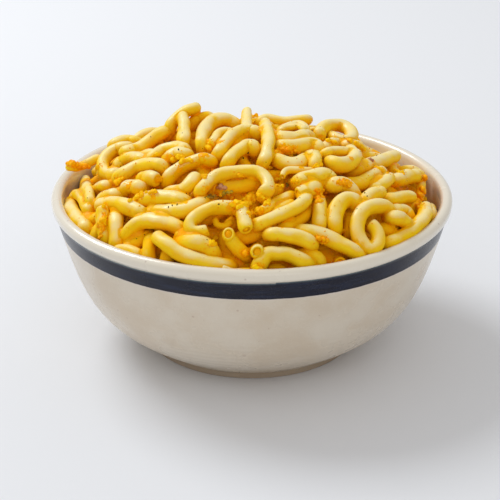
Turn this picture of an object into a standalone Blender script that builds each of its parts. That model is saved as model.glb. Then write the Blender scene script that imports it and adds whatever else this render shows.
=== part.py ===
# A serving bowl of mac and cheese: a round stoneware bowl with a low foot ring and a rolled lip,
# and the heap of macaroni that fills it and stands well above the rim.
# Metres, +Z up. The bowl stands on z = 0 and its axis is the Z axis.

import math
import random

import bmesh
import bpy
from mathutils import Vector
from mathutils.geometry import delaunay_2d_cdt

# Bowl, outside
RIM_RADIUS = 0.108
RIM_HEIGHT = 0.0857
LIP_THICKNESS = 0.0064
LIP_DROP = 0.0066
LIP_STEP = 0.0009
FOOT_RADIUS = 0.0575
FOOT_HEIGHT = 0.004
FOOT_WIDTH = 0.008
FOOT_RECESS = 0.0028
FOOT_EDGE = 0.0006
BODY_LOW_HANDLE = (0.0865, 0.0221)
BODY_HIGH_HANDLE = (0.0925, 0.0245)

# Bowl, inside
FLOOR_HEIGHT = 0.0115
FLOOR_HANDLE = (0.064, 0.0115)
WALL_HANDLE = (0.0975, 0.026)

# Heap of macaroni
GAP = 0.0003
HEAP_EDGE_HEIGHT = 0.0742
HEAP_RISE = 0.0410
FRONT_STEEPNESS = 0.70
BACK_STEEPNESS = 1.05
GRID_STEP = 0.0044
EDGE_POINTS = 80
ELBOW_WIDTH = 0.0120
ELBOW_HEIGHT = 0.0066
ELBOW_COUNT = 58
ELBOW_RADII = (0.0085, 0.0145)
ELBOW_SWEEPS = (math.radians(110), math.radians(230))
GOLDEN_ANGLE = math.radians(137.508)
HEAP_SEED = 11

# Places round the wall where the heap stands back from the bowl: angle, half width, depth
HOLLOWS = (
    (math.radians(14), math.radians(30), 0.0050),
    (math.radians(176), math.radians(25), 0.0045),
)

BOWL_SEGMENTS = 72
BODY_STEPS = 10
WALL_STEPS = 9


def clear_scene():
    for item in list(bpy.data.objects):
        bpy.data.objects.remove(item, do_unlink=True)
    for mesh in list(bpy.data.meshes):
        bpy.data.meshes.remove(mesh)


def add_material(node, name, colour, roughness):
    material = bpy.data.materials.new(name)
    material.use_nodes = True
    shader = material.node_tree.nodes["Principled BSDF"]
    shader.inputs["Base Color"].default_value = (*colour, 1.0)
    shader.inputs["Roughness"].default_value = roughness
    shader.inputs["Metallic"].default_value = 0.0
    material.diffuse_color = (*colour, 1.0)
    node.data.materials.append(material)


def bezier(start, handle_a, handle_b, end, steps):
    """Points of a cubic curve in the (radius, height) plane, both ends included."""
    points = []
    for i in range(steps + 1):
        t = i / steps
        weights = ((1 - t) ** 3, 3 * t * (1 - t) ** 2, 3 * t * t * (1 - t), t ** 3)
        corners = (start, handle_a, handle_b, end)
        radius = sum(w * p[0] for w, p in zip(weights, corners))
        height = sum(w * p[1] for w, p in zip(weights, corners))
        points.append((radius, height))
    return points


def arc(centre, radius, start, end, steps):
    """Points of a circular arc in the (radius, height) plane, both ends included."""
    points = []
    for i in range(steps + 1):
        angle = start + (end - start) * i / steps
        points.append((centre[0] + radius * math.cos(angle), centre[1] + radius * math.sin(angle)))
    return points


def inner_wall(steps):
    """The inside of the bowl, from the middle of its floor up to where the lip begins to round."""
    round_radius = LIP_THICKNESS / 2
    top = (RIM_RADIUS - LIP_THICKNESS, RIM_HEIGHT - round_radius)
    return bezier((0.0, FLOOR_HEIGHT), FLOOR_HANDLE, WALL_HANDLE, top, steps)


def bowl_profile():
    round_radius = LIP_THICKNESS / 2
    lip_centre = (RIM_RADIUS - round_radius, RIM_HEIGHT - round_radius)
    body_top = (RIM_RADIUS - 2 * LIP_STEP, RIM_HEIGHT - LIP_DROP)
    body_bottom = (FOOT_RADIUS + 2 * FOOT_EDGE, FOOT_HEIGHT)
    foot_inner = FOOT_RADIUS - FOOT_WIDTH

    profile = inner_wall(WALL_STEPS)
    profile += arc(lip_centre, round_radius, math.pi, 0.0, 6)[1:]
    profile.append((RIM_RADIUS - 0.3 * LIP_STEP, RIM_HEIGHT - 0.72 * LIP_DROP))
    profile.append((RIM_RADIUS - 1.3 * LIP_STEP, RIM_HEIGHT - 0.93 * LIP_DROP))
    profile += bezier(body_top, BODY_HIGH_HANDLE, BODY_LOW_HANDLE, body_bottom, BODY_STEPS)
    profile.append((FOOT_RADIUS, FOOT_HEIGHT - FOOT_EDGE))
    profile.append((FOOT_RADIUS, FOOT_EDGE))
    profile.append((FOOT_RADIUS - FOOT_EDGE, 0.0))
    profile.append((foot_inner + FOOT_EDGE, 0.0))
    profile.append((foot_inner, FOOT_EDGE))
    profile.append((foot_inner - FOOT_EDGE, FOOT_RECESS))
    profile.append((0.0, FOOT_RECESS))
    return profile


def build_bowl():
    profile = bowl_profile()
    mesh = bpy.data.meshes.new("bowl")
    vertices = [(radius, 0.0, height) for radius, height in profile]
    edges = [(i, i + 1) for i in range(len(profile) - 1)]
    mesh.from_pydata(vertices, edges, [])
    bowl = bpy.data.objects.new("bowl", mesh)
    bpy.context.scene.collection.objects.link(bowl)
    screw = bowl.modifiers.new("turned", "SCREW")
    screw.axis = "Z"
    screw.steps = BOWL_SEGMENTS
    screw.render_steps = BOWL_SEGMENTS
    screw.use_merge_vertices = True
    screw.merge_threshold = 0.00002
    screw.use_smooth_shade = True
    add_material(bowl, "glazed_stoneware", (0.72, 0.66, 0.57), 0.28)
    return bowl


def heap_wall():
    """The bowl's inside, moved in by the gap, from its middle up to the edge of the heap."""
    wall = inner_wall(WALL_STEPS)
    points = [(0.0, FLOOR_HEIGHT + GAP)]
    for before, here, after in zip(wall, wall[1:], wall[2:]):
        run = (after[0] - before[0], after[1] - before[1])
        length = math.hypot(run[0], run[1])
        moved = (here[0] - GAP * run[1] / length, here[1] + GAP * run[0] / length)
        if moved[1] < HEAP_EDGE_HEIGHT:
            points.append(moved)
    below = wall[len(points) - 1]
    above = wall[len(points)]
    share = (HEAP_EDGE_HEIGHT - below[1]) / (above[1] - below[1])
    edge_radius = below[0] + share * (above[0] - below[0]) - GAP
    points.append((edge_radius, HEAP_EDGE_HEIGHT))
    return points


def elbow_arcs(heap_radius):
    """Elbows spread evenly over the heap: middle, radius, first angle, sweep and lift of each."""
    rng = random.Random(HEAP_SEED)
    arcs = []
    for i in range(ELBOW_COUNT):
        away = (heap_radius - ELBOW_RADII[0]) * math.sqrt((i + rng.uniform(0.2, 0.8)) / ELBOW_COUNT)
        turn = i * GOLDEN_ANGLE
        middle = (away * math.cos(turn), away * math.sin(turn))
        radius = rng.uniform(*ELBOW_RADII)
        first = rng.uniform(0.0, 2 * math.pi)
        sweep = rng.uniform(*ELBOW_SWEEPS)
        lift = rng.uniform(0.5, 1.0) * ELBOW_HEIGHT
        arcs.append((middle, radius, first, sweep, lift))
    return arcs


def elbow_lift(x, y, arcs):
    """How far the elbows raise the heap's surface at one place."""
    best = 0.0
    for middle, radius, first, sweep, lift in arcs:
        dx = x - middle[0]
        dy = y - middle[1]
        turned = (math.atan2(dy, dx) - first) % (2 * math.pi)
        if turned <= sweep:
            distance = abs(math.hypot(dx, dy) - radius)
        else:
            ends = (first, first + sweep)
            distance = min(
                math.hypot(dx - radius * math.cos(e), dy - radius * math.sin(e)) for e in ends
            )
        share = 2 * distance / ELBOW_WIDTH
        if share < 1.0:
            best = max(best, lift * math.sqrt(1.0 - share * share))
    return best


def heap_height(x, y, heap_radius, arcs):
    """Height of the heap's surface: a dome with a steep front, stood back at the hollows."""
    away = min(1.0, math.hypot(x, y) / heap_radius)
    angle = math.atan2(y, x)
    to_back = 0.5 + 0.5 * math.sin(angle)
    steepness = FRONT_STEEPNESS + (BACK_STEEPNESS - FRONT_STEEPNESS) * to_back
    dome = HEAP_RISE * max(0.0, 1.0 - away * away) ** steepness
    edge_fade = min(1.0, (1.0 - away) / 0.06)
    lift = elbow_lift(x, y, arcs) * edge_fade
    for middle, half_width, depth in HOLLOWS:
        off = abs((angle - middle + math.pi) % (2 * math.pi) - math.pi) / half_width
        near_wall = max(0.0, 1.0 - abs(away - 0.93) / 0.09)
        if off < 1.0:
            lift -= (depth + lift) * near_wall * (1.0 - off * off)
    return max(HEAP_EDGE_HEIGHT + 0.0002, HEAP_EDGE_HEIGHT + dome + lift)


def heap_plan(heap_radius):
    """The heap seen from above: a ring of edge points, a grid inside it, and the triangles between."""
    points = []
    for i in range(EDGE_POINTS):
        angle = 2 * math.pi * i / EDGE_POINTS
        points.append(Vector((heap_radius * math.cos(angle), heap_radius * math.sin(angle))))
    row_step = GRID_STEP * math.sqrt(3) / 2
    rows = int(heap_radius / row_step)
    for row in range(-rows, rows + 1):
        shift = 0.5 * GRID_STEP * (row % 2)
        columns = int(heap_radius / GRID_STEP) + 1
        for column in range(-columns, columns + 1):
            place = Vector((column * GRID_STEP + shift, row * row_step))
            if place.length < heap_radius - 0.75 * GRID_STEP:
                points.append(place)
    rim = [(i, (i + 1) % EDGE_POINTS) for i in range(EDGE_POINTS)]
    result = delaunay_2d_cdt(points, rim, [], 1, 1e-7)
    return result[0], result[2]


def build_heap():
    wall = heap_wall()
    heap_radius = wall[-1][0]
    arcs = elbow_arcs(heap_radius)
    plan, triangles = heap_plan(heap_radius)

    shape = bmesh.new()
    top = []
    for i, place in enumerate(plan):
        height = HEAP_EDGE_HEIGHT
        if i >= EDGE_POINTS:
            height = heap_height(place.x, place.y, heap_radius, arcs)
        top.append(shape.verts.new((place.x, place.y, height)))
    for corners in triangles:
        shape.faces.new([top[k] for k in corners])

    ring = top[:EDGE_POINTS]
    for radius, height in reversed(wall[1:-1]):
        lower = []
        for i in range(EDGE_POINTS):
            angle = 2 * math.pi * i / EDGE_POINTS
            lower.append(shape.verts.new((radius * math.cos(angle), radius * math.sin(angle), height)))
        for i in range(EDGE_POINTS):
            j = (i + 1) % EDGE_POINTS
            shape.faces.new((ring[i], lower[i], lower[j], ring[j]))
        ring = lower
    middle = shape.verts.new((0.0, 0.0, wall[0][1]))
    for i in range(EDGE_POINTS):
        shape.faces.new((ring[i], middle, ring[(i + 1) % EDGE_POINTS]))

    bmesh.ops.recalc_face_normals(shape, faces=shape.faces)
    for face in shape.faces:
        face.smooth = True
    mesh = bpy.data.meshes.new("macaroni_heap")
    shape.to_mesh(mesh)
    shape.free()
    heap = bpy.data.objects.new("macaroni_heap", mesh)
    bpy.context.scene.collection.objects.link(heap)
    add_material(heap, "cheese_macaroni", (0.83, 0.52, 0.07), 0.4)
    return heap


clear_scene()
build_bowl()
build_heap()
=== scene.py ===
import math
import random

import bpy
import numpy as np
from mathutils import Matrix, Vector
from mathutils.bvhtree import BVHTree


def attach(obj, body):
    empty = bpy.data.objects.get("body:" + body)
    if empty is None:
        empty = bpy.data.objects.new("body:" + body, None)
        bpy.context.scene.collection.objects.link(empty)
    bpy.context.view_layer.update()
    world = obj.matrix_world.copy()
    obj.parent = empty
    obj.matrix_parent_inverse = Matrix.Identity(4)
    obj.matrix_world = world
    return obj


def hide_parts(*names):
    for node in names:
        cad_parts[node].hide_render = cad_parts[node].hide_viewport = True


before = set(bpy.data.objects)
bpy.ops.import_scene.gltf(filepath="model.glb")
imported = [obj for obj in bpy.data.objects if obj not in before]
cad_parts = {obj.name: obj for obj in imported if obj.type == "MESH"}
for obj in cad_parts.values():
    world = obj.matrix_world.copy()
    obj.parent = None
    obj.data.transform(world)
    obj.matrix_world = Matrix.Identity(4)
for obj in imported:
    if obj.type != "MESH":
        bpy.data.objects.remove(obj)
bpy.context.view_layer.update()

mm = 0.001


# small helpers: objects and points

def putInScene(name, data):
    item = bpy.data.objects.new(name, data)
    bpy.context.scene.collection.objects.link(item)
    return item


def places(mesh):
    where = np.empty(len(mesh.vertices) * 3)
    mesh.vertices.foreach_get("co", where)
    return where.reshape(-1, 3)


def mark(mesh, name, values):
    mesh.attributes.new(name, "FLOAT", "POINT").data.foreach_set("value", values)


def finishPiece(item, slot, *replaced):
    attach(item, "root")
    if replaced:
        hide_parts(*replaced)


# small helpers: node trees

def addNode(tree, kind, **settings):
    node = tree.nodes.new(kind)
    for key, value in settings.items():
        setattr(node, key, value)
    return node


def feed(tree, source, target):
    if isinstance(source, bpy.types.NodeSocket):
        tree.links.new(source, target)
    else:
        target.default_value = source


def maths(tree, operation, a, b=None, clamp=False):
    node = addNode(tree, "ShaderNodeMath", operation=operation, use_clamp=clamp)
    for slot, value in zip(node.inputs, (a, b)):
        if value is not None:
            feed(tree, value, slot)
    return node.outputs[0]


def times(tree, a, b):
    return maths(tree, "MULTIPLY", a, b)


def plus(tree, a, b):
    return maths(tree, "ADD", a, b)


def minus(tree, a, b):
    return maths(tree, "SUBTRACT", a, b)


def vectorMaths(tree, operation, a, b=None, scale=None):
    node = addNode(tree, "ShaderNodeVectorMath", operation=operation)
    feed(tree, a, node.inputs[0])
    if b is not None:
        feed(tree, b, node.inputs[1])
    if scale is not None:
        feed(tree, scale, node.inputs["Scale"])
    return node.outputs["Value"] if operation == "LENGTH" else node.outputs[0]


def threeParts(tree, vector):
    node = addNode(tree, "ShaderNodeSeparateXYZ")
    feed(tree, vector, node.inputs[0])
    return node.outputs


def fromParts(tree, *parts):
    node = addNode(tree, "ShaderNodeCombineXYZ")
    for part, slot in zip(parts, node.inputs):
        feed(tree, part, slot)
    return node.outputs[0]


def spread(tree, value, low, high, toLow=0.0, toHigh=1.0):
    node = addNode(tree, "ShaderNodeMapRange", interpolation_type="SMOOTHSTEP")
    for slot, given in zip(node.inputs, (value, low, high, toLow, toHigh)):
        feed(tree, given, slot)
    return node.outputs[0]


def blend(tree, kind, amount, first, second):
    node = addNode(tree, "ShaderNodeMix", data_type=kind)
    feed(tree, amount, node.inputs["Factor"])
    feed(tree, first, node.inputs["A"])
    feed(tree, second, node.inputs["B"])
    return node.outputs["Result"]


def blendColour(tree, amount, first, second):
    return blend(tree, "RGBA", amount, first, second)


def blendNumber(tree, amount, first, second):
    return blend(tree, "FLOAT", amount, first, second)


def noise(tree, where, scale, detail=3.0, rough=0.5, twist=0.0):
    node = addNode(tree, "ShaderNodeTexNoise")
    feed(tree, where, node.inputs["Vector"])
    feed(tree, scale, node.inputs["Scale"])
    node.inputs["Detail"].default_value = detail
    feed(tree, rough, node.inputs["Roughness"])
    feed(tree, twist, node.inputs["Distortion"])
    return node.outputs["Fac"]


def readMark(tree, name):
    return addNode(tree, "ShaderNodeAttribute", attribute_name=name).outputs["Fac"]


def addRelief(tree, shader, height, strength, depth):
    bump = addNode(tree, "ShaderNodeBump")
    bump.inputs["Strength"].default_value = strength
    bump.inputs["Distance"].default_value = depth
    feed(tree, height, bump.inputs["Height"])
    feed(tree, bump.outputs[0], shader.inputs["Normal"])


def tone(red, green, blue, alpha=1.0):
    # screen values 0-255 to the scene's own linear colour
    linear = []
    for part in (red, green, blue):
        share = part / 255
        linear.append(share / 12.92 if share <= 0.04045 else ((share + 0.055) / 1.055) ** 2.4)
    return (*linear, alpha)


def newMaterial(name, roughness=0.5, **sockets):
    material = bpy.data.materials.new(name)
    material.use_nodes = True
    tree = material.node_tree
    shader = tree.nodes["Principled BSDF"]
    shader.inputs["Roughness"].default_value = roughness
    for key, value in sockets.items():
        shader.inputs[key.replace("_", " ")].default_value = value
    return material, tree, shader


# studio: floor, lights and camera

studio = {
    "floorSize": 6.0,
    "floorTone": tone(227, 228, 232),
    "floorRoughness": 0.75,
    "skyTone": tone(247, 246, 244),
    "skyStrength": 0.66,
    "lampAim": (0, 0, 0.06),
    "keyPower": 17.5,
    "keyTone": (0.93, 0.97, 1.0),
    "keySize": 0.95,
    "keyPlace": (-0.85, 0.75, 1.35),
    "fillPower": 4.5,
    "fillTone": (1, 1, 1),
    "fillSize": 1.4,
    "fillPlace": (0.3, -1.6, 1.1),
    "lens": 129.6,
    "sensor": 36.0,
    "nearest": 0.05,
    "farthest": 20.0,
    "distance": 0.9885,
    "elevation": 24.3,
    "aim": (-0.0008, 0.0, 0.049),
    "tilt": 0.23,
}


def makeFloor():
    half = studio["floorSize"] / 2
    corners = [(-half, -half, 0), (half, -half, 0), (half, half, 0), (-half, half, 0)]
    mesh = bpy.data.meshes.new("floor")
    mesh.from_pydata(corners, [], [(0, 1, 2, 3)])
    material, _, shader = newMaterial("palePaper", studio["floorRoughness"])
    shader.inputs["Base Color"].default_value = studio["floorTone"]
    mesh.materials.append(material)
    putInScene("floor", mesh)


def makeLamp(name, kind):
    light = bpy.data.lights.new(name, "AREA")
    light.shape = "DISK"
    light.size = studio[kind + "Size"]
    light.energy = studio[kind + "Power"]
    light.color = studio[kind + "Tone"]
    lamp = putInScene(name, light)
    lamp.location = studio[kind + "Place"]
    ahead = Vector(studio["lampAim"]) - lamp.location
    lamp.rotation_euler = ahead.to_track_quat("-Z", "Y").to_euler()


def makeRoom():
    world = bpy.data.worlds.new("paleRoom")
    bpy.context.scene.world = world
    world.use_nodes = True
    background = world.node_tree.nodes["Background"]
    background.inputs["Color"].default_value = studio["skyTone"]
    background.inputs["Strength"].default_value = studio["skyStrength"]
    bpy.context.scene.view_settings.view_transform = "Standard"


def makeCamera():
    data = bpy.data.cameras.new("camera")
    data.lens = studio["lens"]
    data.sensor_width = studio["sensor"]
    data.clip_start = studio["nearest"]
    data.clip_end = studio["farthest"]
    camera = putInScene("camera", data)
    up = math.radians(studio["elevation"])
    back = Vector((0.0, -math.cos(up), math.sin(up)))
    camera.location = Vector(studio["aim"]) + back * studio["distance"]
    facing = (-back).to_track_quat("-Z", "Y").to_matrix().to_4x4()
    camera.rotation_euler = (facing @ Matrix.Rotation(math.radians(studio["tilt"]), 4, "Z")).to_euler()
    bpy.context.scene.camera = camera


print("studio")
makeFloor()
makeLamp("windowLight", "key")
makeLamp("cardFill", "fill")
makeRoom()
makeCamera()


# bowl: turned stoneware, glazed cream, with a navy band brushed on under the lip

bowlShape = {
    "rimRadius": 0.108,
    "rimHeight": 0.0857,
    "lipThickness": 0.0064,
    "lipDrop": 0.0066,
    "lipStep": 0.0009,
    "footRadius": 0.0575,
    "footHeight": 0.004,
    "footWidth": 0.008,
    "footRecess": 0.0028,
    "footEdge": 0.0006,
    "bodyHandles": ((0.0925, 0.0245), (0.0865, 0.0221)),
    "floorHeight": 0.0115,
    "wallHandles": ((0.064, 0.0115), (0.0975, 0.026)),
    "turns": 180,
    "wander": ((0.00018, 2, 0.6), (0.00012, 5, 2.1)),  # sideways waves: size, how many, where they start
    "rise": (0.00016, 3, 1.1),  # the same for the wave in the lip's height
    "throwingRings": (0.00004, 1900),
}

glaze = {
    "cream": tone(218, 207, 190),
    "warm": tone(210, 195, 174),
    "pale": tone(228, 221, 210),
    # lip: partly the glaze's own paler tone, partly painted highlight on the lip's top
    "lip": tone(228, 219, 202),
    "speck": tone(140, 96, 84),
    "bareFoot": tone(150, 128, 104),
    "navy": tone(14, 16, 34),
    "navyThin": tone(38, 50, 78),
    "tealEdge": tone(96, 112, 116),
    "lilacEdge": tone(206, 198, 204),
    "sauceStain": tone(222, 160, 44),
    "roughness": 0.26,
    "specular": 0.30,
    "coatRoughness": 0.16,
    "bodyCoat": 0.05,
    "lipCoat": 0.8,
    "lipFrom": (0.0786, 0.0800),
    "cloudScale": 28.0,
    "grainScale": 900.0,
    "speckScale": 190.0,
    "speckDepth": 0.30,
    "largeSpeck": (-0.0035, -0.0885, 0.031),
    "bandLow": 0.0689,
    "bandHigh": 0.0787,
    "bandOutside": 0.1025,
    "brushStart": -83.5,
    "brushLift": 0.00045,
    "brushWander": 0.0005,
    "brushStretch": (1.0, 1.0, 9.0),
    "stainDepth": 0.7,
    "relief": (0.12, 0.0004),
}


def curvePoints(start, handles, end, steps):
    points = []
    for i in range(steps + 1):
        t = i / steps
        shares = ((1 - t) ** 3, 3 * t * (1 - t) ** 2, 3 * t * t * (1 - t), t ** 3)
        corners = (start, *handles, end)
        points.append(tuple(sum(w * p[k] for w, p in zip(shares, corners)) for k in (0, 1)))
    return points


def roundPoints(centre, radius, first, last, steps):
    turns = [first + (last - first) * i / steps for i in range(steps + 1)]
    return [(centre[0] + radius * math.cos(a), centre[1] + radius * math.sin(a)) for a in turns]


def bowlOutline():
    s = bowlShape
    half = s["lipThickness"] / 2
    rim, high, step, drop = s["rimRadius"], s["rimHeight"], s["lipStep"], s["lipDrop"]
    foot, edge, tall = s["footRadius"], s["footEdge"], s["footHeight"]
    inner = foot - s["footWidth"]
    line = curvePoints((0, s["floorHeight"]), s["wallHandles"], (rim - 2 * half, high - half), 60)
    line += roundPoints((rim - half, high - half), half, math.pi, 0, 22)[1:]
    line += curvePoints(
        (rim, high - half - 0.0001),
        ((rim - 0.05 * step, high - 0.75 * drop), (rim - 0.4 * step, high - 0.80 * drop)),
        (rim - 1.35 * step, high - 0.95 * drop), 8)[1:]
    line += curvePoints((rim - 2 * step, high - drop), s["bodyHandles"], (foot + 2 * edge, tall), 80)
    line += curvePoints(
        (foot + edge, tall - 0.2 * edge), ((foot, tall - 0.4 * edge), (foot, tall - edge)),
        (foot, tall - 2 * edge), 4)
    line += roundPoints((foot - edge, edge), edge, 0, -math.pi / 2, 4)
    line += roundPoints((inner + edge, edge), edge, -math.pi / 2, -math.pi, 4)
    line += [(inner - edge, s["footRecess"] * 0.9), (inner - 2 * edge, s["footRecess"])]
    line += [(inner * share, s["footRecess"]) for share in (0.75, 0.5, 0.25, 0.0)]
    return line


def makeBowlShape():
    outline = bowlOutline()
    mesh = bpy.data.meshes.new("stonewareBowl")
    mesh.from_pydata([(r, 0, z) for r, z in outline], [(i, i + 1) for i in range(len(outline) - 1)], [])
    bowl = putInScene("stonewareBowl", mesh)
    screw = bowl.modifiers.new("turned", "SCREW")
    screw.axis = "Z"
    screw.steps = screw.render_steps = bowlShape["turns"]
    screw.use_merge_vertices = True
    screw.merge_threshold = 0.00001
    screw.use_smooth_shade = True
    graph = bpy.context.evaluated_depsgraph_get()
    turned = bpy.data.meshes.new_from_object(bowl.evaluated_get(graph))
    bowl.modifiers.clear()
    bowl.data = turned
    markInside(turned)
    wobble(turned)
    return bowl


def innerWall(inset, drop):
    # the eating side of the wall, as (radius, height) from the middle of the floor up to the lip
    top = (bowlShape["rimRadius"] - inset, bowlShape["rimHeight"] - drop)
    return np.array(curvePoints((0, bowlShape["floorHeight"]), bowlShape["wallHandles"], top, 60))


def markInside(mesh):
    # 1 on the eating side of the wall, up to the crown of the lip
    wall = innerWall(bowlShape["lipThickness"], 0)
    where = places(mesh)
    away = np.hypot(where[:, 0], where[:, 1])
    inner = np.interp(where[:, 2], wall[:, 1], wall[:, 0])
    mark(mesh, "insideWall", ((away < inner + 0.0016) & (where[:, 2] > 0.0110)).astype(float))


def wobble(mesh):
    # a potter's hand: the lip and wall wander by a fraction of a millimetre
    where = places(mesh)
    turn = np.arctan2(where[:, 1], where[:, 0])
    high = np.clip(where[:, 2] / bowlShape["rimHeight"], 0, 1)
    wander = sum(size * np.sin(waves * turn + start) for size, waves, start in bowlShape["wander"])
    size, waves, start = bowlShape["rise"]
    rise = size * np.sin(waves * turn + start) * high ** 4
    size, waves = bowlShape["throwingRings"]
    rings = size * np.sin(where[:, 2] * waves) * (high > 0.08)
    away = np.maximum(np.hypot(where[:, 0], where[:, 1]), 1e-6)
    scale = 1 + (wander * high ** 2 + rings) / away * (away > 0.02)
    where[:, :2] *= scale[:, None]
    where[:, 2] += rise
    mesh.vertices.foreach_set("co", where.ravel())
    mesh.update()


def brushBand(tree, place, parts, base):
    # the band's top edge starts a little higher at the overlap and drifts back down round the bowl
    x, y, z = parts
    away = maths(tree, "SQRT", plus(tree, times(tree, x, x), times(tree, y, y)))
    turn = maths(tree, "DIVIDE", maths(tree, "ARCTAN2", y, x), 2 * math.pi)
    travelled = maths(tree, "FRACT", minus(tree, turn, glaze["brushStart"] / 360))
    lift = times(tree, minus(tree, 1.0, travelled), glaze["brushLift"])
    wander = times(tree, minus(tree, noise(tree, place, 150.0, 3.0), 0.5), glaze["brushWander"])
    height = minus(tree, z, wander)
    belowTop = minus(tree, plus(tree, glaze["bandHigh"], lift), height)
    aboveLow = minus(tree, height, glaze["bandLow"])
    outside = maths(tree, "GREATER_THAN", away, glaze["bandOutside"])
    inBand = times(tree, spread(tree, belowTop, -0.00045, 0.00035), spread(tree, aboveLow, -0.00010, 0.00012))
    inBand = times(tree, inBand, outside)
    streaks = addNode(tree, "ShaderNodeMapping")
    feed(tree, place, streaks.inputs["Vector"])
    streaks.inputs["Scale"].default_value = glaze["brushStretch"]
    brushed = noise(tree, streaks.outputs[0], 55.0, 4.0, 0.6)
    paint = blendColour(tree, spread(tree, brushed, 0.40, 0.72, 0.0, 0.40), glaze["navy"], glaze["navyThin"])
    paint = blendColour(tree, spread(tree, belowTop, 0.0013, 0.0001, 0.0, 0.75), paint, glaze["tealEdge"])
    bleed = times(tree, spread(tree, aboveLow, -0.0006, -0.0002), spread(tree, aboveLow, 0.0, -0.0002))
    base = blendColour(tree, times(tree, times(tree, bleed, outside), 0.55), base, glaze["lilacEdge"])
    return blendColour(tree, inBand, base, paint), inBand


def wipeSauce(tree, place, high, base):
    # sauce wiped up the inside, mostly where the heap touches the wall
    inside = times(tree, readMark(tree, "insideWall"), spread(tree, high, 0.0858, 0.0825))
    smear = noise(tree, place, 95.0, 5.0, 0.65, 0.4)
    wet = times(tree, inside, spread(tree, smear, 0.55, 0.70))
    low = times(tree, inside, times(tree, spread(tree, high, 0.0780, 0.0690), 0.7))
    stained = maths(tree, "MAXIMUM", times(tree, wet, spread(tree, high, 0.0850, 0.0780)), low)
    return blendColour(tree, times(tree, stained, glaze["stainDepth"]), base, glaze["sauceStain"])


def addSpecks(tree, place, base):
    # tiny iron specks and one larger one low on the front
    cells = addNode(tree, "ShaderNodeTexVoronoi", feature="F1")
    feed(tree, place, cells.inputs["Vector"])
    cells.inputs["Scale"].default_value = glaze["speckScale"]
    pick = maths(tree, "GREATER_THAN", noise(tree, place, 60.0, 1.0), 0.60)
    dots = times(tree, spread(tree, cells.outputs["Distance"], 0.16, 0.07), pick)
    base = blendColour(tree, times(tree, dots, glaze["speckDepth"]), base, glaze["speck"])
    away = vectorMaths(tree, "LENGTH", vectorMaths(tree, "SUBTRACT", place, glaze["largeSpeck"]))
    largest = spread(tree, away, 0.0019, 0.0006, 0.0, glaze["speckDepth"])
    return blendColour(tree, largest, base, glaze["speck"])


def makeGlaze():
    material, tree, shader = newMaterial(
        "creamGlaze", glaze["roughness"], Coat_Roughness=glaze["coatRoughness"],
        Specular_IOR_Level=glaze["specular"])
    place = addNode(tree, "ShaderNodeTexCoord").outputs["Object"]
    parts = threeParts(tree, place)
    high = parts[2]
    clouds = noise(tree, place, glaze["cloudScale"], 4.0, 0.55)
    fine = noise(tree, place, glaze["grainScale"], 2.0, 0.6)
    base = blendColour(tree, spread(tree, clouds, 0.38, 0.66), glaze["cream"], glaze["warm"])
    base = blendColour(tree, spread(tree, fine, 0.55, 0.75, 0.0, 0.22), base, glaze["pale"])

    # the glaze lies thickest on the lip, and the lip is painted paler: partly the glaze itself, partly
    # painted highlight where its top catches the light
    lip = spread(tree, high, *glaze["lipFrom"])
    base = blendColour(tree, lip, base, glaze["lip"])
    coat = plus(tree, times(tree, lip, glaze["lipCoat"]), glaze["bodyCoat"])
    feed(tree, coat, shader.inputs["Coat Weight"])
    base = addSpecks(tree, place, base)
    base, inBand = brushBand(tree, place, parts, base)
    base = wipeSauce(tree, place, high, base)

    # the bare foot ring is darker and dry
    foot = spread(tree, high, 0.0046, 0.0034)
    base = blendColour(tree, times(tree, foot, 0.8), base, glaze["bareFoot"])
    feed(tree, base, shader.inputs["Base Color"])
    rough = spread(tree, clouds, 0.3, 0.7, glaze["roughness"] - 0.04, glaze["roughness"] + 0.06)
    feed(tree, plus(tree, rough, times(tree, foot, 0.4)), shader.inputs["Roughness"])
    height = plus(tree, noise(tree, place, 70.0, 3.0), times(tree, inBand, 0.35))
    addRelief(tree, shader, height, *glaze["relief"])
    return material


print("bowl")
bowlPiece = makeBowlShape()
bowlPiece.data.materials.clear()
bowlPiece.data.materials.append(makeGlaze())
finishPiece(bowlPiece, "glazed_stoneware", "bowl")


# macaroni that shows: each row is one piece, as points of (x, y, lift) in millimetres.
# x and y say where it crosses the heap's outer surface, lift how far it stands off it.
# "out" pieces lift towards the front, where the heap leans; "up" pieces lift straight up.

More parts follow.
